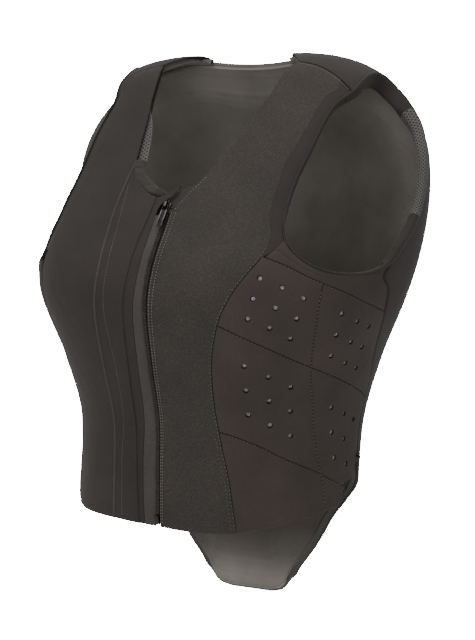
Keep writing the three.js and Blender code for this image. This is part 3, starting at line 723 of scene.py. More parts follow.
def cord(name, angle, along, offset, radius, material, sides=8):
    """A thin round cord laid along a line of places on the form."""
    line = lifted(form_point, angle, along, offset)
    out = normal_of(form_point, angle, along)
    tangent = np.gradient(line, axis=0)
    tangent /= np.linalg.norm(tangent, axis=1, keepdims=True)
    side = np.cross(tangent, out)
    turn = np.arange(sides) * 2 * math.pi / sides
    ring = (line[:, None] + side[:, None] * (np.cos(turn) * radius)[None, :, None]
            + out[:, None] * (np.sin(turn) * radius)[None, :, None])
    count = len(line)
    faces = [(r * sides + k, (r + 1) * sides + k, (r + 1) * sides + (k + 1) % sides,
              r * sides + (k + 1) % sides) for r in range(count - 1) for k in range(sides)]
    faces += [tuple(range(sides)), tuple(reversed(range((count - 1) * sides, count * sides)))]
    piece = new_mesh(name, ring.reshape(-1, 3), faces)
    edit_whole(piece, bpy.ops.mesh.normals_make_consistent, inside=False)
    return finish_piece(piece, material, angle=80)


# the seam between the right panel and the welt stands up as a fine ridge; its paler tape cloth
# is a painted highlight along it
ridge = np.linspace(0.004, 0.7, 260)
cord("flap_seam_ridge", right_inner(ridge) + 0.1, ridge, -0.25, 1.15, TAPE_CLOTH)
print("Strips:", made[-5:])

# %% [markdown]
# The side pads are foam under stretch cloth, held at their seams and round each vent. The
# cloth is simulated: its border and the rings round the vents are held, air pressure lifts
# the rest for twenty frames, and no point may move further than a cap. That gives the
# swell and the small pull marks that a formula misses. The vents are cut afterwards.

# %% Side pads


def vents(angles, top, bottom, first, step, lean):
    """Three rows of vents below a pad's top edge; none comes near its bottom edge."""
    rows = [(angle + lean * row, float(top(np.array(angle))) - first - step * row)
            for row in range(3) for angle in angles]
    return [spot for spot in rows if spot[1] > float(bottom(np.array(spot[0]))) + 0.014]


def swell(piece, held, start, cap):
    """Lifts a held sheet with cloth pressure and applies the capped result."""
    group = piece.vertex_groups.new(name="held")
    group.add([int(k) for k in np.nonzero(held)[0]], 1.0, "REPLACE")
    cloth = piece.modifiers.new("Cloth", "CLOTH")
    cloth.settings.vertex_group_mass = "held"
    cloth.settings.mass = 0.2
    cloth.settings.quality = 5
    cloth.settings.tension_stiffness = 12
    cloth.settings.compression_stiffness = 12
    cloth.settings.bending_stiffness = 0.4
    cloth.settings.use_pressure = True
    cloth.settings.uniform_pressure_force = 4
    cloth.settings.effector_weights.gravity = 0
    scene = bpy.context.scene
    for number in range(1, 21):
        scene.frame_set(number)
    ready = piece.evaluated_get(bpy.context.evaluated_depsgraph_get())
    moved = read_points(ready.to_mesh()) - start
    ready.to_mesh_clear()
    piece.modifiers.remove(cloth)
    piece.vertex_groups.remove(group)
    scene.frame_set(1)
    size = np.linalg.norm(moved, axis=1, keepdims=True)
    soft = cap * MM * np.tanh(size / (cap * MM))
    write_points(piece.data, start + moved / np.maximum(size, 1e-9) * soft)
    return float(size.max() / MM)


def vent_cylinders(places, radius, top, length):
    """Joined short cylinders, one on each vent: top is the height of their outer ends."""
    cylinders = []
    for angle, along in places:
        end = lifted(form_point, angle, along, top) * MM
        out = normal_of(form_point, np.array(angle), np.array(along))
        bpy.ops.mesh.primitive_cylinder_add(
            vertices=16, radius=radius * MM, depth=length * MM,
            location=Vector(end) - Vector(out) * (length * MM) / 2)
        bpy.context.object.rotation_euler = Vector(out).to_track_quat("Z", "Y").to_euler()
        cylinders.append(bpy.context.object)
    row = join(cylinders)
    bpy.ops.object.transform_apply(location=True, rotation=True, scale=True)
    return row


VENT_RADIUS = 2.5
VENT_DEPTH = 3.2
VENT_ABOVE = CROWN + 3.0   # the cutters stand clear of the swelled cloth
DISC_RADIUS, DISC_THICK = 1.9, 0.8
VENT_LIMIT = 89       # degrees: further back the pad is too thin at its border for a vent


def make_pad(name, node, edges, places, crown):
    piece, angle, along, a, b = surface_grid(name, edges, 56, 56, 0.0, roll=1.2,
                                             crown=0.35 * crown)
    start = read_points(piece.data)
    held = (np.minimum(a, 1 - a) < 0.03) | (np.minimum(b, 1 - b) < 0.03)
    for spot in places:
        centre = lifted(form_point, spot[0], spot[1], 0.35 * crown) * MM
        held |= np.linalg.norm(start - centre, axis=1) < (VENT_RADIUS + 1.2) * MM
    reach = swell(piece, held, start, 0.8 * crown)
    print(name, "swelled by", round(reach, 1), "mm before the cap")
    border = np.minimum(np.minimum(a, 1 - a), np.minimum(b, 1 - b))
    thicken(piece, PAD - 1.0, 0.45 + 0.55 * np.clip(border * 8, 0, 1))
    if places:
        tool = vent_cylinders(places, VENT_RADIUS, VENT_ABOVE, VENT_ABOVE + VENT_DEPTH)
        apply_modifier(piece, "BOOLEAN", operation="DIFFERENCE", solver="EXACT", use_self=True,
                       object=tool)
        bpy.data.objects.remove(tool, do_unlink=True)
        # pale lining shows at the foot of each vent
        foot = -1.5 if "rear" in name else -2.5
        caps = vent_cylinders(places, DISC_RADIUS, foot + DISC_THICK / 2, DISC_THICK)
        caps.name = caps.data.name = name + "_vent_discs"
        finish_piece(caps, VENT_DISC, angle=30)
    finish_piece(piece, PAD_CLOTH, angle=42, replaces=[node])


def make_side(suffix, princess, seam, turn, columns):
    sign = 1 if suffix == "left" else -1
    cells = [
        # name, left, right, bottom, top, start, vent rows: first, step, lean
        ("pad_upper_front", princess, seam, row_two, row_one, 44, 0.037, 0.0375, -0.35),
        ("pad_upper_rear", seam, rear_seam, row_two, row_one, 70, 0.036, 0.0405, 0.8),
        ("pad_middle_front", princess, seam, row_three, row_two, 45, 0.05, 0.047, 1.2),
        ("pad_middle_rear", seam, rear_seam, middle_low, row_two, 75, 0.056, 0.0495, 2.6),
        ("pad_lower_front", princess, seam, hem, row_three, 45, 0, 0, 0),
        ("pad_lower_rear", seam, low_corner, hem, row_three, 72, 0, 0, 0),
    ]
    for index, (name, left, right, bottom, top, start, first, step, lean) in enumerate(cells):
        edges = turn({"start": start, "left": left, "right": right, "bottom": bottom,
                      "top": top})
        angles = columns[index] if index < 4 else []
        places = [(sign * angle, along)
                  for angle, along in vents(angles, top, bottom, first, step, lean)
                  if angle < VENT_LIMIT]
        crown = CROWN / 3 if name == "pad_lower_rear" else CROWN
        make_pad(f"{name}_{suffix}_cloth", f"{name}_{suffix}", edges, places, crown=crown)


VENTS_LEFT = [[33, 40, 47.2], [62, 70, 77.5], [33.2, 41.6, 50.2], [70.3, 79.3, 88]]
VENTS_RIGHT = [[53.5, 59.5], [69, 75.5, 82], [53.5, 60], [72, 79.5, 87]]
make_side("left", left_outer, side_seam, lambda edges: edges, VENTS_LEFT)
make_side("right", lambda along: -right_outer(along), side_seam_right, mirrored, VENTS_RIGHT)

# %% [markdown]
# The underarm pieces close the side above the pads, and soft piping turns the front edge
# of each armhole. They are panels too, the piping with a roll as wide as itself.

# %% Underarms and armhole piping


def underarm_fold(angle, along, a, b):
    """One soft fold line that follows the armhole."""
    return -0.9 * np.exp(-((b - 0.45 - 0.15 * a) / 0.06)**2) * np.clip(1 - a / 0.6, 0, 1)


underarm = {"start": 55, "left": lambda along: underarm_front(along) - 1.2,
            "right": lambda along: rear_seam(along) - 0.35, "bottom": row_one,
            "top": underarm_top}
for suffix, edges in (("left", underarm),
                      ("right", mirrored({**underarm, "left": constant(48.2)}))):
    piece, *_ = surface_grid(f"underarm_{suffix}_cloth", edges, 70, 34, -0.15, roll=1.2,
                             crown=0.5, shape=underarm_fold)
    thicken(piece, PAD - 1.2)
    finish_piece(piece, PAD_CLOTH, replaces=[f"underarm_{suffix}"])


def right_edge(along):
    """The right armhole's front edge, drawn in a little below the shoulder."""
    return right_outer(along) + 2.7 * np.clip((along - 0.78) / 0.1, 0, 1)


bands = [
    ("left", {"start": 34, "left": lambda along: left_outer(along) - 0.9,
              "right": lambda along: np.minimum(band_edge(along), 46.8),
              "bottom": lambda angle: 0.514 + 0.023 * np.clip((angle - 31.5) / 4.5, 0, 1),
              "top": shoulder_seam}),
    ("right", {"start": -37, "left": right_edge,
               "right": lambda along: right_panel_outer(along) + 0.9,
               "bottom": constant(0.515), "top": flipped(shoulder_seam)}),
]
for suffix, edges in bands:

    def turned_in(angle, along, a, b, suffix=suffix):
        """The piping falls away towards the hole."""
        return -1.6 * (a if suffix == "left" else 1 - a)**1.6

    piece, *_ = surface_grid(f"armhole_piping_{suffix}", edges, 18, 110, -0.25, roll=0.8,
                             crown=0.0, shape=turned_in)
    thicken(piece, PANEL - 1.0)
    finish_piece(piece, SMOOTH, replaces=[f"armhole_band_{suffix}"])
print("Underarms and piping:", made[-4:])

# %% [markdown]
# The straps run over the shoulders. A strap is a grid as well, but its places are counted
# across the shoulder and past the ridge, so that it bends over smoothly.

# %% Straps
STRAP_BACK = [15, 23.4, 31.8, 40.2, 48.6, 57]
STRAP_INNER = 0.26    # halfway over the shoulder, as a share of the half width
STRAPS = {
    # sign: suffix, angles along the shoulder seam, outer edge halfway over the shoulder
    1: ("left", [26.3, 30.5, 34.7, 38.9, 43, 49.5], 0.735),
    -1: ("right", [26.3, 29.1, 31.9, 34.7, 37.5, 40.3], 0.57),
}


def strap_course(sign, a, b):
    """Millimetres across and share past the ridge, for shares over and along a strap."""
    _, angles, outer = STRAPS[sign]
    knots = np.linspace(0, 1, len(angles))
    angle = np.interp(a, knots, angles)
    behind = np.interp(a, knots, STRAP_BACK)
    start = shoulder_seam(angle) + SEAM / FRONT_LENGTH
    end = back_top(behind) + SEAM / FRONT_LENGTH
    past = (start - 1) * (1 - b) + (1 - end) * b
    across = (form_point(angle, start)[:, 0] * (1 - b)**2
              + (STRAP_INNER * (1 - a) + outer * a) * HALF_WIDTH * 2 * b * (1 - b)
              + form_point(180 - behind, end)[:, 0] * b**2)
    return across, past


def make_strap(sign):
    suffix = STRAPS[sign][0]
    piece = new_grid(f"strap_{suffix}_cloth", 60, 60)
    grid = read_points(piece.data)
    a, b = gathered(grid[:, 0] + 0.5), gathered(grid[:, 1] + 0.5)
    across, past = strap_course(sign, a, b)
    distance = np.minimum(np.minimum(a, 1 - a) * 82, np.minimum(b, 1 - b) * 45)
    offset = 0.0 - border_drop(distance, 0.9) + 0.5 * np.clip(distance / 14, 0, 1)
    points = lifted(strap_point, sign * across, past, offset)
    write_points(piece.data, points * MM)
    map_cloth(piece, across * MM, past * FRONT_LENGTH * MM)
    if sign < 0:
        edit_whole(piece, bpy.ops.mesh.flip_normals)
    outer_faces = len(piece.data.polygons)
    thicken(piece, PANEL - 0.8)
    finish_piece(piece, SMOOTH, replaces=[f"strap_{suffix}"])
    piece.data.materials.append(SATIN)
    for face in piece.data.polygons[outer_faces:2 * outer_faces]:
        face.material_index = 1


for sign in STRAPS:
    make_strap(sign)
print("Straps:", made[-2:])

# %% [markdown]
# The back is layered: stretch fabric outside, a thick protector plate inside it whose smooth
# lining shows through the neck and armholes, and strips of lining beside the plate. The shell
# and the plate reach down into the tail; the strips lie higher up, beside the armholes.

# %% Back layers
SHELL_COLUMNS, SHELL_ROWS = 150, 190
TAIL_ROUND = 0.024    # share of the front length: the tail's two corners are rounded
TAIL_TOP = -350.0     # below this height the turned edge of the tail takes a paler copy of the cloth, painted light on an edge in shade
NECK_LINING = -40.0   # above this height the lining turns over the neck edge


def back_place(k, b, rise=(0.0, 0.0), inset=0.35):
    """Place on the back: k runs from -8 to 8, and the plate's edge is at 6."""
    angle, along = np.zeros_like(k), np.full_like(k, 0.3)
    for _ in range(14):
        plate, spread = plate_spread(along), back_spread(along)
        size = np.abs(k)
        edge = np.where(size <= 6, plate * size / 6, plate + (spread - plate) * (size - 6) / 2)
        angle = np.sign(k) * (edge - inset / 2.5 * (size >= 7.999))
        turn = np.clip((size - 5.0) / 3, 0, 1)
        low = back_bottom(angle) + rise[0] + TAIL_ROUND * (1 - np.sqrt(1 - turn**2))
        high = back_top(angle) - rise[1]
        along = low * (1 - b) + high * b
    return 180 + angle, along


def back_layer(name, low, high, columns, rows, over, under, rise, roll, span=(0.0, 1.0),
               shape=None, taper=0.0):
    piece = new_grid(name, columns, rows)
    grid = read_points(piece.data)
    a, b = gathered(grid[:, 0] + 0.5, 0.5), gathered(grid[:, 1] + 0.5, 0.4)
    k = low + (high - low) * a
    share = span[0] + (span[1] - span[0]) * b
    angle, along = back_place(k, share, rise)
    first = form_point(*back_place(np.full_like(k, low), share, rise))
    last = form_point(*back_place(np.full_like(k, high), share, rise))
    here = form_point(angle, along)
    side = np.minimum(np.linalg.norm(here - first, axis=1), np.linalg.norm(here - last, axis=1))
    ends = np.minimum(b, 1 - b) * 500 * (span[1] - span[0])
    distance = np.minimum(side, ends)
    offset = over - border_drop(distance, roll)
    if shape:
        offset = offset + shape(angle - 180, along, distance)
    write_points(piece.data, lifted(form_point, angle, along, offset) * MM)
    map_cloth(piece, (angle - 180) * 2.5 * MM, along * FRONT_LENGTH * MM)
    if taper:
        fade = np.clip(distance / taper, 0, 1)
        thicken(piece, over - under, 0.2 + 0.8 * fade * fade * (3 - 2 * fade))
    else:
        thicken(piece, over - under)
    return piece


def plate_outline(angle, along, distance):
    """The stitched channel round the plate shows on the outer fabric as a soft groove."""
    edge = (np.abs(angle) - plate_spread(along)) * 2.5
    groove = -1.3 * np.exp(-(edge / 2.2)**2) * (along < 0.89) * (along > -0.16)
    return groove + 0.3 * np.sin(angle * 0.13) * np.sin(along * 17)


inside = -SHELL - LAYER
piece = back_layer("back_shell_cloth", -8, 8, SHELL_COLUMNS, SHELL_ROWS, 0.0, -SHELL + 0.3,
                   (0, 0.0008), 1.8, shape=plate_outline)
finish_piece(piece, SMOOTH, replaces=["back_shell"])
# paler cloth for the tail's edge faces: painted light on an edge in shade
piece.data.materials.append(TAIL_EDGE_PAINTED_LIGHT)
piece.data.materials.append(SATIN)
height = read_points(piece.data)[:, 2] / MM
for face in piece.data.polygons[SHELL_COLUMNS * SHELL_ROWS:]:
    level = np.mean(height[list(face.vertices)])
    if level < TAIL_TOP:
        face.material_index = 1
    elif level > NECK_LINING:
        face.material_index = 2
piece = back_layer("back_plate_cover", -6.6, 6.6, 110, 170, inside, inside - PLATE + 0.4,
                   (0.006, 0.003), 0.8, taper=42)
finish_piece(piece, SATIN, replaces=["back_plate"])

linings = [
    # node, rows, roll, part of the back's height, material, slot
    ("mesh_strip", 60, 0.6, (0.728, 0.92), DOTTED, "mesh"),
    ("armhole_lining", 40, 0.8, (0.62, 0.722), BINDING, "binding"),
]
for suffix, low, high in (("left", -8, -6), ("right", 6, 8)):
    for node, rows, roll, span, cloth, slot in linings:
        piece = back_layer(f"{node}_{suffix}_cloth", low, high, 16, rows, inside,
                           inside - 1.6, (0, 0), roll, span=span)
        finish_piece(piece, cloth, replaces=[f"{node}_{suffix}"])
print("Back:", made[-6:])

# %% [markdown]
# A soft binding closes each armhole. It follows the edge of the front panel, runs over the
# strap, down the edge of the back and through the underarm. Its path is those four edges
# joined and smoothed, and a rounded section is swept round it.

# %% Armhole bindings
BIND_SECTION = np.array([
    # towards the hole, out of the form
    [-3.6, 0.5], [-2.4, 0.95], [-0.4, 1.0], [1.4, 0.7], [2.7, -0.2], [3.3, -1.8], [3.4, -4.2],
    [3.1, -6.4], [2.1, -7.9], [0.4, -8.4], [-1.6, -8.2], [-2.6, -7.0], [-2.8, -4.0],
    [-3.3, -1.2],
])
INNER_FACE = slice(8, 13)   # rows of the section that turn in beside the lining
DOTTED_REACH = 8.0          # millimetres that they reach over it where it is dotted


def smoothed(values, width):
    """Running mean round a closed line."""
    padded = np.concatenate([values[-width:], values, values[:width]])
    total = np.cumsum(np.concatenate([np.zeros((1, values.shape[1])), padded]), axis=0)
    mean = (total[2 * width + 1:] - total[:-2 * width - 1]) / (2 * width + 1)
    return mean[:len(values)]


def armhole_line(sign):
    """Points, outward normals, and dotted share and widths of the binding, round a hole."""
    share = np.linspace(0, 1, 160)
    if sign > 0:
        front = 0.56 + (0.872 - 0.56) * share
        front_angle = band_edge(front)
        low = 37.0
    else:
        front = 0.53 + (0.885 - 0.53) * share
        front_angle = -right_edge(front) - 0.2
        low = 48.0
    _, angles, outer = STRAPS[sign]
    corner, behind = angles[-1], STRAP_BACK[-1]
    start = float(shoulder_seam(np.array(float(corner))))
    end = float(back_top(np.array(float(behind))))
    past = (start - 1) * (1 - share) + (1 - end) * share
    across = (form_point(corner, start)[0] * (1 - share)**2
              + outer * HALF_WIDTH * 2 * share * (1 - share)
              + form_point(180 - behind, end)[0] * share**2)
    rear = 0.905 - (0.905 - 0.508) * share
    rear_angle = rear_seam(rear)
    under_angle = 80 - (80 - low) * share
    under = underarm_top(under_angle)
    lines = [(form_point, front_angle, front), (strap_point, across, past),
             (form_point, rear_angle, rear), (form_point, under_angle, under)]
    flat = np.ones(len(share))
    # only the rear edge has a dotted inner face, and not at its two ends
    dotted = [0 * flat, 0 * flat, np.clip((rear - 0.59) / 0.012, 0, 1)
              * np.clip((0.875 - rear) / 0.02, 0, 1), 0 * flat]
    fade = np.clip((rear - 0.76) / 0.1, 0, 1)
    # each part of the edge: width away from the hole, width towards it, depth
    widths = [[0.2 * flat, 0.4 * flat, 0.6 * flat], [0.6 * flat, 0.5 * flat, 1.8 * flat],
              [1.2 * flat, 0.9 * flat, 1.0 + 0.8 * fade], [0.2 * flat, 0.35 * flat, 0.6 * flat]]
    widths = np.concatenate([np.stack(part, -1) for part in widths])
    points = np.concatenate([point(first, second) for point, first, second in lines])
    normals = np.concatenate([normal_of(point, first, second)
                              for point, first, second in lines])
    if sign < 0:
        points[:, 0] *= -1
        normals[:, 0] *= -1
    return points, normals, np.column_stack([np.concatenate(dotted), widths])


def make_binding(name, sign, count=420):
    points, normals, traits = armhole_line(sign)
    closed = np.concatenate([points, points[:1]])
    steps = np.concatenate([[0], np.cumsum(np.linalg.norm(np.diff(closed, axis=0), axis=1))])
    where = np.arange(count) * steps[-1] / count
    ring = np.concatenate([normals, normals[:1]])
    line = np.stack([np.interp(where, steps, closed[:, k]) for k in range(3)], -1)
    out = np.stack([np.interp(where, steps, ring[:, k]) for k in range(3)], -1)
    traits = np.concatenate([traits, traits[:1]])
    dotted, away, inward, deep = (np.interp(where, steps, traits[:, k]) for k in range(4))
    line, out = smoothed(line, 11), smoothed(out, 18)
    widths = smoothed(np.stack([away, inward, deep], -1), 26)
    tangent = np.roll(line, -1, axis=0) - np.roll(line, 1, axis=0)
    tangent /= np.linalg.norm(tangent, axis=1, keepdims=True)
    out -= tangent * np.sum(out * tangent, axis=1, keepdims=True)
    out /= np.linalg.norm(out, axis=1, keepdims=True)
    side = np.cross(tangent, out)
    if np.sum(side * (line.mean(0) - line)) < 0:
        side = -side
    wrinkle = 0.25 * np.sin(where / 6.1) * np.sin(where / 41.0 + 1.0)
    reach = np.repeat(BIND_SECTION[None, :, :1], count, axis=0)
    reach = reach * np.where(reach < 0, widths[:, None, :1], widths[:, None, 1:2])
    reach[:, INNER_FACE, 0] -= DOTTED_REACH * dotted[:, None]
    grid = (line[:, None] + side[:, None] * reach
            + out[:, None] * (BIND_SECTION[None, :, 1:] * widths[:, None, 2:]
                              + wrinkle[:, None, None]))
    columns = len(BIND_SECTION)
    faces = []
    for row in range(count):
        for k in range(columns):
            here, there = row * columns, (row + 1) % count * columns
            faces.append((here + k, here + (k + 1) % columns, there + (k + 1) % columns,
                          there + k))
    piece = new_mesh(name, grid.reshape(-1, 3), faces)
    edit_whole(piece, bpy.ops.mesh.normals_make_consistent, inside=False)
    around = np.concatenate([[0], np.cumsum(np.linalg.norm(np.diff(BIND_SECTION, axis=0),
                                                           axis=1))])
    map_cloth(piece, np.repeat(where, columns) * MM, np.tile(around, count) * MM)
    finish_piece(piece, BINDING, angle=80)
    piece.data.materials.append(DOTTED)
    for index, face in enumerate(piece.data.polygons):
        if dotted[index // columns] > 0.5:
            face.material_index = 1


make_binding("armhole_binding_left", 1)
make_binding("armhole_binding_right", -1)
print("Bindings:", made[-2:])

# %% [markdown]
# The neck is finished with a rolled satin band at its foot, a tongue behind the slider and a
# narrow perforated binding. They are strips laid from rows of paired edge places.

# %% Neck facing, tongue and binding


def laid_strip(name, rows, across, lengthwise, over, thickness, roll, shape=None):
    piece = new_grid(name, across, lengthwise)
    grid = read_points(piece.data)
    a, b = gathered(grid[:, 0] + 0.5, 0.4), grid[:, 1] + 0.5
    table = np.array(rows, float)
    knots = np.linspace(0, 1, len(table))
    ends = [curve(np.stack([knots, table[:, k]], -1))(b) for k in range(4)]
    angle = ends[0] * (1 - a) + ends[2] * a
    along = ends[1] * (1 - a) + ends[3] * a
    width = 8.0
    offset = over - border_drop(np.minimum(a, 1 - a) * width, roll)
    if shape:
        offset = offset + shape(a, b)
    write_points(piece.data, lifted(form_point, angle, along, offset) * MM)
    map_cloth(piece, a * width * MM, b * 0.06)
    thicken(piece, thickness)
    return piece


def facing_folds(a, b):
    """Gathers where the satin turns the corner."""
    lean = b * 26 + 3 * np.sin(b * 7) + 2.2 * a
    sink = -5.5 * np.clip(1 - b / 0.12, 0, 1)**1.3
    return sink + 0.7 * np.sin(lean)**3 * np.exp(-((b - 0.5) / 0.3)**2) * np.sin(np.pi * a)


piece = laid_strip("neck_facing_satin", [
    # outer edge: angle and along; inner edge: angle and along
    [-3.6, 0.632, -2.8, 0.643],
    [-7.6, 0.636, -6.4, 0.653],
    [-11.1, 0.65, -8.8, 0.664],
    [-14.2, 0.665, -11, 0.675],
    [-16.1, 0.68, -12.2, 0.687],
    [-17, 0.695, -12.9, 0.697],
    [-17.3, 0.706, -13.2, 0.706],
], 18, 120, 0.3, 5.5, 2.4, facing_folds)
finish_piece(piece, FACING, replaces=["neck_facing"])
piece = laid_strip("zip_tongue_satin", [
    [-1.6, 0.613, 1.2, 0.613],
    [-1.6, 0.628, 3.6, 0.632],
    [-0.6, 0.642, 7.4, 0.672],
], 24, 40, -PANEL + 2.4, 1.6, 0.6)
finish_piece(piece, FACING, replaces=["zip_tongue"])
piece = laid_strip("neck_binding_mesh", [
    [-17.4, 0.706, -13.6, 0.706],
    [-18, 0.74, -14.3, 0.74],
    [-19, 0.775, -15.6, 0.775],
    [-20.6, 0.805, -17.8, 0.805],
    [-21.8, 0.826, -20, 0.826],
], 16, 60, -PANEL + 3, 2.6, 1.0)
finish_piece(piece, DOTTED, replaces=["neck_binding"])
print("Neck pieces:", made[-3:])

# %% [markdown]
# A coil zip is two rows of small nylon loops. One loop is modelled as a rounded block and
# copied up the chain, alternately to the left and to the right, each turned to face out of
# the form.

# %% Zip teeth


def zip_axes(along):
    """Origin and axes on the zip line: up the chain and out of it."""
    origin = form_point(0.1, along)
    up = form_point(0.1, along + 0.005) - form_point(0.1, along - 0.005)
    up = up / np.linalg.norm(up)
    across = np.array([1.0, 0, 0])
    out = np.cross(across, up)
    return origin, across, up, out / np.linalg.norm(out)


def copied_block(name, base, placements, material, smooth=40):
    """One mesh made of many placed copies of a small base shape."""
    points, faces = base
    count = len(points)
    all_points, all_faces = [], []
    for k, (origin, axes, size) in enumerate(placements):
        local = points * size
        all_points.append(origin + local @ np.stack(axes))
        all_faces.extend([tuple(v + k * count for v in face) for face in faces])
    piece = new_mesh(name, np.concatenate(all_points), all_faces)
    return finish_piece(piece, material, angle=smooth)


def base_shape(make):
    """Points and faces of a primitive, read and removed again."""
    deselect()
    make()
    model = bpy.context.object
    points = read_points(model.data)
    faces = [tuple(face.vertices) for face in model.data.polygons]
    bpy.data.objects.remove(model, do_unlink=True)
    return points, faces


def tooth_model():
    bpy.ops.mesh.primitive_cube_add(size=1)
    edit_whole(bpy.context.object, bpy.ops.mesh.bevel, offset=0.28, segments=2)


tooth = base_shape(tooth_model)
placements = []
low, high, pitch = 0.022, 0.596, 1.45 / FRONT_LENGTH
for k in range(int((high - low) / pitch)):
    origin, across, up, out = zip_axes(low + k * pitch)
    for side in (-1, 1):
        shift = across * side * 1.15 + up * (0.36 * side) + out * -0.1
        placements.append((origin + shift, (across, up, out), np.array([2.5, 0.85, 1.5])))
zip_coil = copied_block("zip_coil_teeth", tooth, placements, COIL)
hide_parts("zip_teeth")
backing_edges = {"start": 0, "left": constant(-2.4), "right": constant(2.6),
                 "bottom": constant(0.004), "top": constant(0.602)}
piece, *_ = surface_grid("zip_backing_tape", backing_edges, 8, 90, -3.0, roll=0.3)
thicken(piece, 1.0)
finish_piece(piece, BINDING)


def facing_top(angle):
    """The facing stays just below the strips' upper edges."""
    return np.interp(angle, [-20, -17, -11, -6, -3.5, 4], [0.66, 0.66, 0.64, 0.62, 0.6, 0.6])


# one strip of facing behind all the strips, so no light shows between them
strip_facing = {"start": -8, "left": lambda along: right_inner(along) - 2.0,
                "right": constant(3.8), "bottom": lambda angle: hem(angle) + 0.004,
                "top": facing_top}
piece, *_ = surface_grid("strip_backing_facing", strip_facing, 40, 90, -4.9, roll=0.3)
thicken(piece, 1.0)
finish_piece(piece, BINDING)
print("Zip teeth:", len(placements))

# %% [markdown]
# The slider, its pull and the box at the zip's foot are small castings. They start as cubes,
# get their taper and edges by moving and beveling faces, and take dark plated metal. Pale
# strips on the pull's rims and the slider's crown are painted highlights.

# %% Slider, pull and box
SLIDER_AT = 0.606


def hardware(name, parts, along, node, body="vest"):
    """Beveled blocks in the zip's axes, joined into one casting."""
    turn = np.stack(zip_axes(along)[1:])
    origin = form_point(0.0, along)
    deselect()
    blocks = []
    for (x0, x1), (y0, y1), (z0, z1), edge, taper in parts:
        bpy.ops.mesh.primitive_cube_add(size=1)
        block = bpy.context.object
        local = read_points(block.data) + 0.5
        local = local * [x1 - x0, y1 - y0, z1 - z0] + [x0, y0, z0]
        low_end = local[:, 1] < (y0 + y1) / 2
        local[low_end, 0] *= taper
        write_points(block.data, (origin + local @ turn) * MM)
        apply_modifier(block, "BEVEL", width=edge * MM, segments=3, limit_method="NONE")
        blocks.append(block)
    piece = join(blocks)
    piece.name = piece.data.name = name
    return finish_piece(piece, METAL, body=body, angle=35,
                        replaces=[node] if node else [])


hardware("slider_casting", [
    ((-4.2, 4.2), (-6, 5), (0.9, 3), 0.7, 0.72),
    ((-1.3, 1.3), (3.2, 4.6), (2.8, 6.6), 0.3, 1.0),
    ((-1.3, 1.3), (-1.6, -0.4), (2.8, 6.6), 0.3, 1.0),
    ((-1.3, 1.3), (-1.6, 4.6), (5.6, 6.6), 0.3, 1.0),
], SLIDER_AT, "zip_slider")
hardware("pull_casting", [
    ((-2.9, 2.9), (0.8, 2.0), (3.7, 4.9), 0.3, 1.0),
    ((-2.9, -1.9), (-4.6, 1.9), (3.7, 4.9), 0.3, 1.0),
    ((1.9, 2.9), (-4.6, 1.9), (3.7, 4.9), 0.3, 1.0),
    ((-2.5, 2.5), (-20.0, -3.6), (3.9, 4.6), 0.3, 0.8),
], SLIDER_AT, "zip_pull", body="zip_pull")
# pale rims along the pull's two sides: painted highlights
for name, x0, x1 in (("pull_rim_left", 2.2, 2.9), ("pull_rim_right", -2.9, -2.2)):
    rim = hardware(name, [((x0, x1), (-20.4, -3.6), (3.7, 4.95), 0.25, 1.0)], SLIDER_AT, None,
                   body="zip_pull")
    rim.data.materials[0] = BRIGHT
# a painted glint on the slider's crown
glint = hardware("slider_painted_glint", [((-1.1, 1.1), (-0.8, 3.8), (6.3, 6.85), 0.2, 1.0)],
                 SLIDER_AT, None)
glint.data.materials[0] = BRIGHT
hardware("zip_foot_box", [
    ((-1.9, 2.4), (-4.6, 4), (-1.6, 1.6), 0.4, 1.0),
], 0.011, "zip_box")
print("Hardware:", made[-6:])

# %% [markdown]
# Stitches hold it all together and are what the eye finds first along a seam. One stitch is
# a stretched ball of few faces, and it is copied along each seam line at the thread's pitch,
# half sunk in the cloth.

# %% Stitches


def stitch_model():
    bpy.ops.mesh.primitive_uv_sphere_add(segments=8, ring_count=5, radius=0.5)


stitch = base_shape(stitch_model)


def resample(points, pitch):
    """Evenly spaced points and tangents on a dense line."""
    steps = np.linalg.norm(np.diff(points, axis=0), axis=1)
    total = np.concatenate([[0], np.cumsum(steps)])
    count = max(int(total[-1] / pitch), 2)
    where = (np.arange(count) + 0.5) * total[-1] / count
    spots = np.stack([np.interp(where, total, points[:, k]) for k in range(3)], -1)
    ahead = np.stack([np.interp(where + 0.3, total, points[:, k]) for k in range(3)], -1)
    back = np.stack([np.interp(where - 0.3, total, points[:, k]) for k in range(3)], -1)
    tangent = ahead - back
    return spots, tangent / np.linalg.norm(tangent, axis=1, keepdims=True), where / total[-1]


def stitch_row(name, angle, along, offset, material, pitch, length, width):
    """Stitches along a line of places on the form."""
    line = lifted(form_point, angle, along, offset)
    normals = normal_of(form_point, angle, along)
    spots, tangents, share = resample(line, pitch)
    index = np.clip((share * (len(angle) - 1)).astype(int), 0, len(angle) - 1)
    placements = []
    for spot, tangent, out in zip(spots, tangents, normals[index]):
        side = np.cross(out, tangent)
        side = side / np.linalg.norm(side)
        out = np.cross(tangent, side)
        placements.append((spot, (tangent, side, out), np.array([length, width, width])))
    copied_block(name, stitch, placements, material, smooth=80)
    return len(placements)


def run(low, high, count=400):
    return np.linspace(low, high, count)


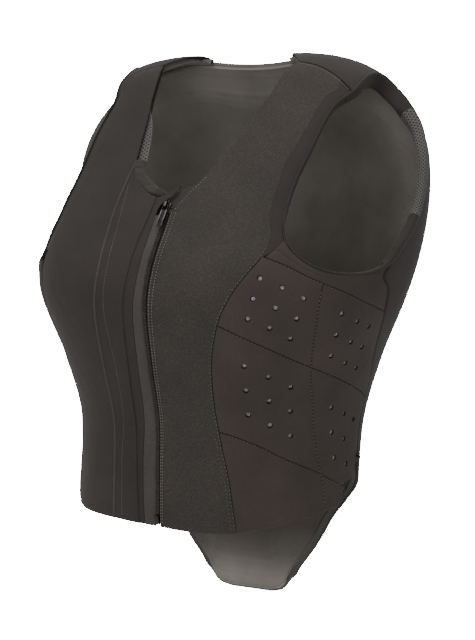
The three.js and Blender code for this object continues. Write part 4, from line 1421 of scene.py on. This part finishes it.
lengthwise, diagonal, flap = run(0.004, 0.6), run(0.604, 0.672), run(0.008, 0.655)
princess, low_half, upright = run(0.0, 0.535), run(0.0, 0.19), run(0.03, 0.455)
over_left, over_right = run(26.8, 46.5), run(26.8, 42)
rows_of_stitches = [
    # name, angle, along, offset, thread, pitch, length, width
    ("zip_stitch_inner", 1.72 + 0 * lengthwise, lengthwise, 0.1, THREAD, 2.7, 1.4, 0.75),
    ("zip_stitch_outer", 2.45 + lengthwise, lengthwise, 0.15, THREAD, 2.7, 1.4, 0.75),
    ("neck_stitch_left", neck_edge(diagonal) + 0.9, diagonal, 0.1, THREAD, 3.0, 1.5, 0.6),
    ("flap_stitch", line_b(flap) + 0.1, flap, 0.45, THREAD, 2.7, 1.2, 0.6),
    ("princess_stitch_front", left_outer(princess) - 0.35, princess, 0.0, DARK_THREAD, 3.5,
     1.9, 1.1),
    ("princess_stitch_low", left_outer(low_half) - 1.7, low_half, 0.1, DARK_THREAD, 3.5, 1.9,
     0.8),
    ("shoulder_stitch_left", over_left, shoulder_seam(over_left) - 0.006, 0.1, THREAD, 2.6,
     1.7, 0.5),
    ("shoulder_stitch_right", -over_right, shoulder_seam(over_right) - 0.006, 0.1,
     DARK_THREAD, 2.6, 1.7, 0.5),
    ("side_stitch_left", side_seam(upright) - 0.1, upright, 0.0, DARK_THREAD, 3.5, 1.8, 1.2),
    ("side_stitch_right", -side_seam_right(upright) + 0.9, upright, 0.5, DARK_THREAD, 3.4,
     2.4, 0.7),
]
for index, (line, low, high) in enumerate(((row_one, 36, 83), (row_two, 26, 95),
                                           (row_three, 28, 79))):
    # the right side's rows are seen only from further round
    for suffix, sign, first in (("left", 1, low), ("right", -1, max(low, 51))):
        sweep = run(first, high)
        rows_of_stitches.append((f"row_stitch_{suffix}_{index}", sign * sweep,
                                 line(sweep) - 0.0015, 0.1, DARK_THREAD, 3.5, 1.6, 0.8))
total = sum(stitch_row(*row) for row in rows_of_stitches)
print("Stitches:", total)

# %% [markdown]
# Under the seams a lining closes the gaps between pads and panels, so no light comes
# through them. It is a thin sheet of cloth just inside the pads, cut a little narrower than
# the side it covers. Its near-black colour is painted shade seen through the gaps.

# %% Side linings


def side_lining(name, edges):
    piece, *_ = surface_grid(name, edges, 60, 80, -PAD + 0.3, roll=0.3)
    mesh = piece.data
    points = read_points(mesh)
    thicken(piece, 0.8)
    # near-black cloth: painted shade seen through the seam gaps
    finish_piece(piece, GAP_SHADE_CLOTH)


side_edges = {
    "start": 55,
    "left": lambda along: left_outer(np.minimum(along, 0.52)) - 1.5,
    "right": lambda along: np.minimum(rear_seam(along), 97) + 1.0,
    "bottom": lambda angle: np.where(angle < 79, hem(angle), middle_low(angle)) + 0.012,
    "top": lambda angle: underarm_top(angle) - 0.012,
}
side_lining("side_lining_left", side_edges)
side_lining("side_lining_right", mirrored({
    **side_edges,
    "left": lambda along: -right_outer(np.minimum(along, 0.5)) - 1.5,
}))
print("Pieces so far:", len(made))

# %% [markdown]
# The camera stands where the photograph was taken: about 31 degrees round to the wearer's
# left, slightly above, and near enough for some perspective. The light is soft and even,
# over a pale floor.

# %% Camera, floor and light
AIM = Vector((0.0, -33 * MM, (190 - 430 + SEAT_DROP) * MM))
AZIMUTH, ELEVATION, DISTANCE = math.radians(31.5), math.radians(4.75), 1.752
PHOTO_HEIGHT = 640     # pixels
PIXELS_PER_MM = 1.05   # in the photo, at the middle of the vest
away = Vector((math.sin(AZIMUTH) * math.cos(ELEVATION),
               -math.cos(AZIMUTH) * math.cos(ELEVATION), math.sin(ELEVATION)))
camera_data = bpy.data.cameras.new("camera")
camera = bpy.data.objects.new("camera", camera_data)
bpy.context.collection.objects.link(camera)
camera.location = AIM + away * DISTANCE
camera.rotation_euler = away.to_track_quat("Z", "Y").to_euler()
camera_data.sensor_width = 36
camera_data.lens = PIXELS_PER_MM * DISTANCE / MM * 36 / PHOTO_HEIGHT
camera_data.shift_x = 9.9 / PHOTO_HEIGHT
camera_data.shift_y = -13.8 / PHOTO_HEIGHT
bpy.context.scene.camera = camera

deselect()
bpy.ops.mesh.primitive_plane_add(size=30, location=(0, 6, -0.62))
floor = bpy.context.object
floor.name = "studio_floor"
floor_paint = plain_material("floor_paint", (0.9, 0.9, 0.9), (0.92, 0.92, 0.92), 0.9, scale=3)
paint = floor_paint.node_tree
glow = paint.nodes["Principled BSDF"]
glow.inputs["Emission Color"].default_value = (1, 1, 1, 1)
watched = add_node(paint, "ShaderNodeLightPath", (-600, -400))
shine = add_node(paint, "ShaderNodeMapRange", (-300, -400))
shine.inputs["To Min"].default_value = 0.1
shine.inputs["To Max"].default_value = 40.0
paint.links.new(watched.outputs["Is Camera Ray"], shine.inputs["Value"])
paint.links.new(shine.outputs["Result"], glow.inputs["Emission Strength"])
floor.data.materials.append(floor_paint)

world = bpy.context.scene.world or bpy.data.worlds.new("studio")
bpy.context.scene.world = world
world.use_nodes = True
sky = world.node_tree
sky.nodes["Background"].inputs["Color"].default_value = (1, 1, 1, 1)
seen = add_node(sky, "ShaderNodeLightPath", (-500, 200))
level = add_node(sky, "ShaderNodeMapRange", (-250, 100))
level.inputs["To Min"].default_value = 0.42
level.inputs["To Max"].default_value = 40.0
sky.links.new(seen.outputs["Is Camera Ray"], level.inputs["Value"])
sky.links.new(level.outputs["Result"], sky.nodes["Background"].inputs["Strength"])


def soft_light(name, location, size, power):
    data = bpy.data.lights.new(name, "AREA")
    data.size = size
    data.energy = power
    light = bpy.data.objects.new(name, data)
    bpy.context.collection.objects.link(light)
    light.location = location
    aim = Vector(location) - AIM
    light.rotation_euler = aim.to_track_quat("Z", "Y").to_euler()


soft_light("top", (0.1, -0.5, 1.7), 1.6, 34)
soft_light("front", (0.5, -2.4, 0.5), 1.8, 16)
soft_light("rim", (-0.5, 1.9, 1.5), 1.4, 8)
print("Camera at", tuple(round(v, 3) for v in camera.location))
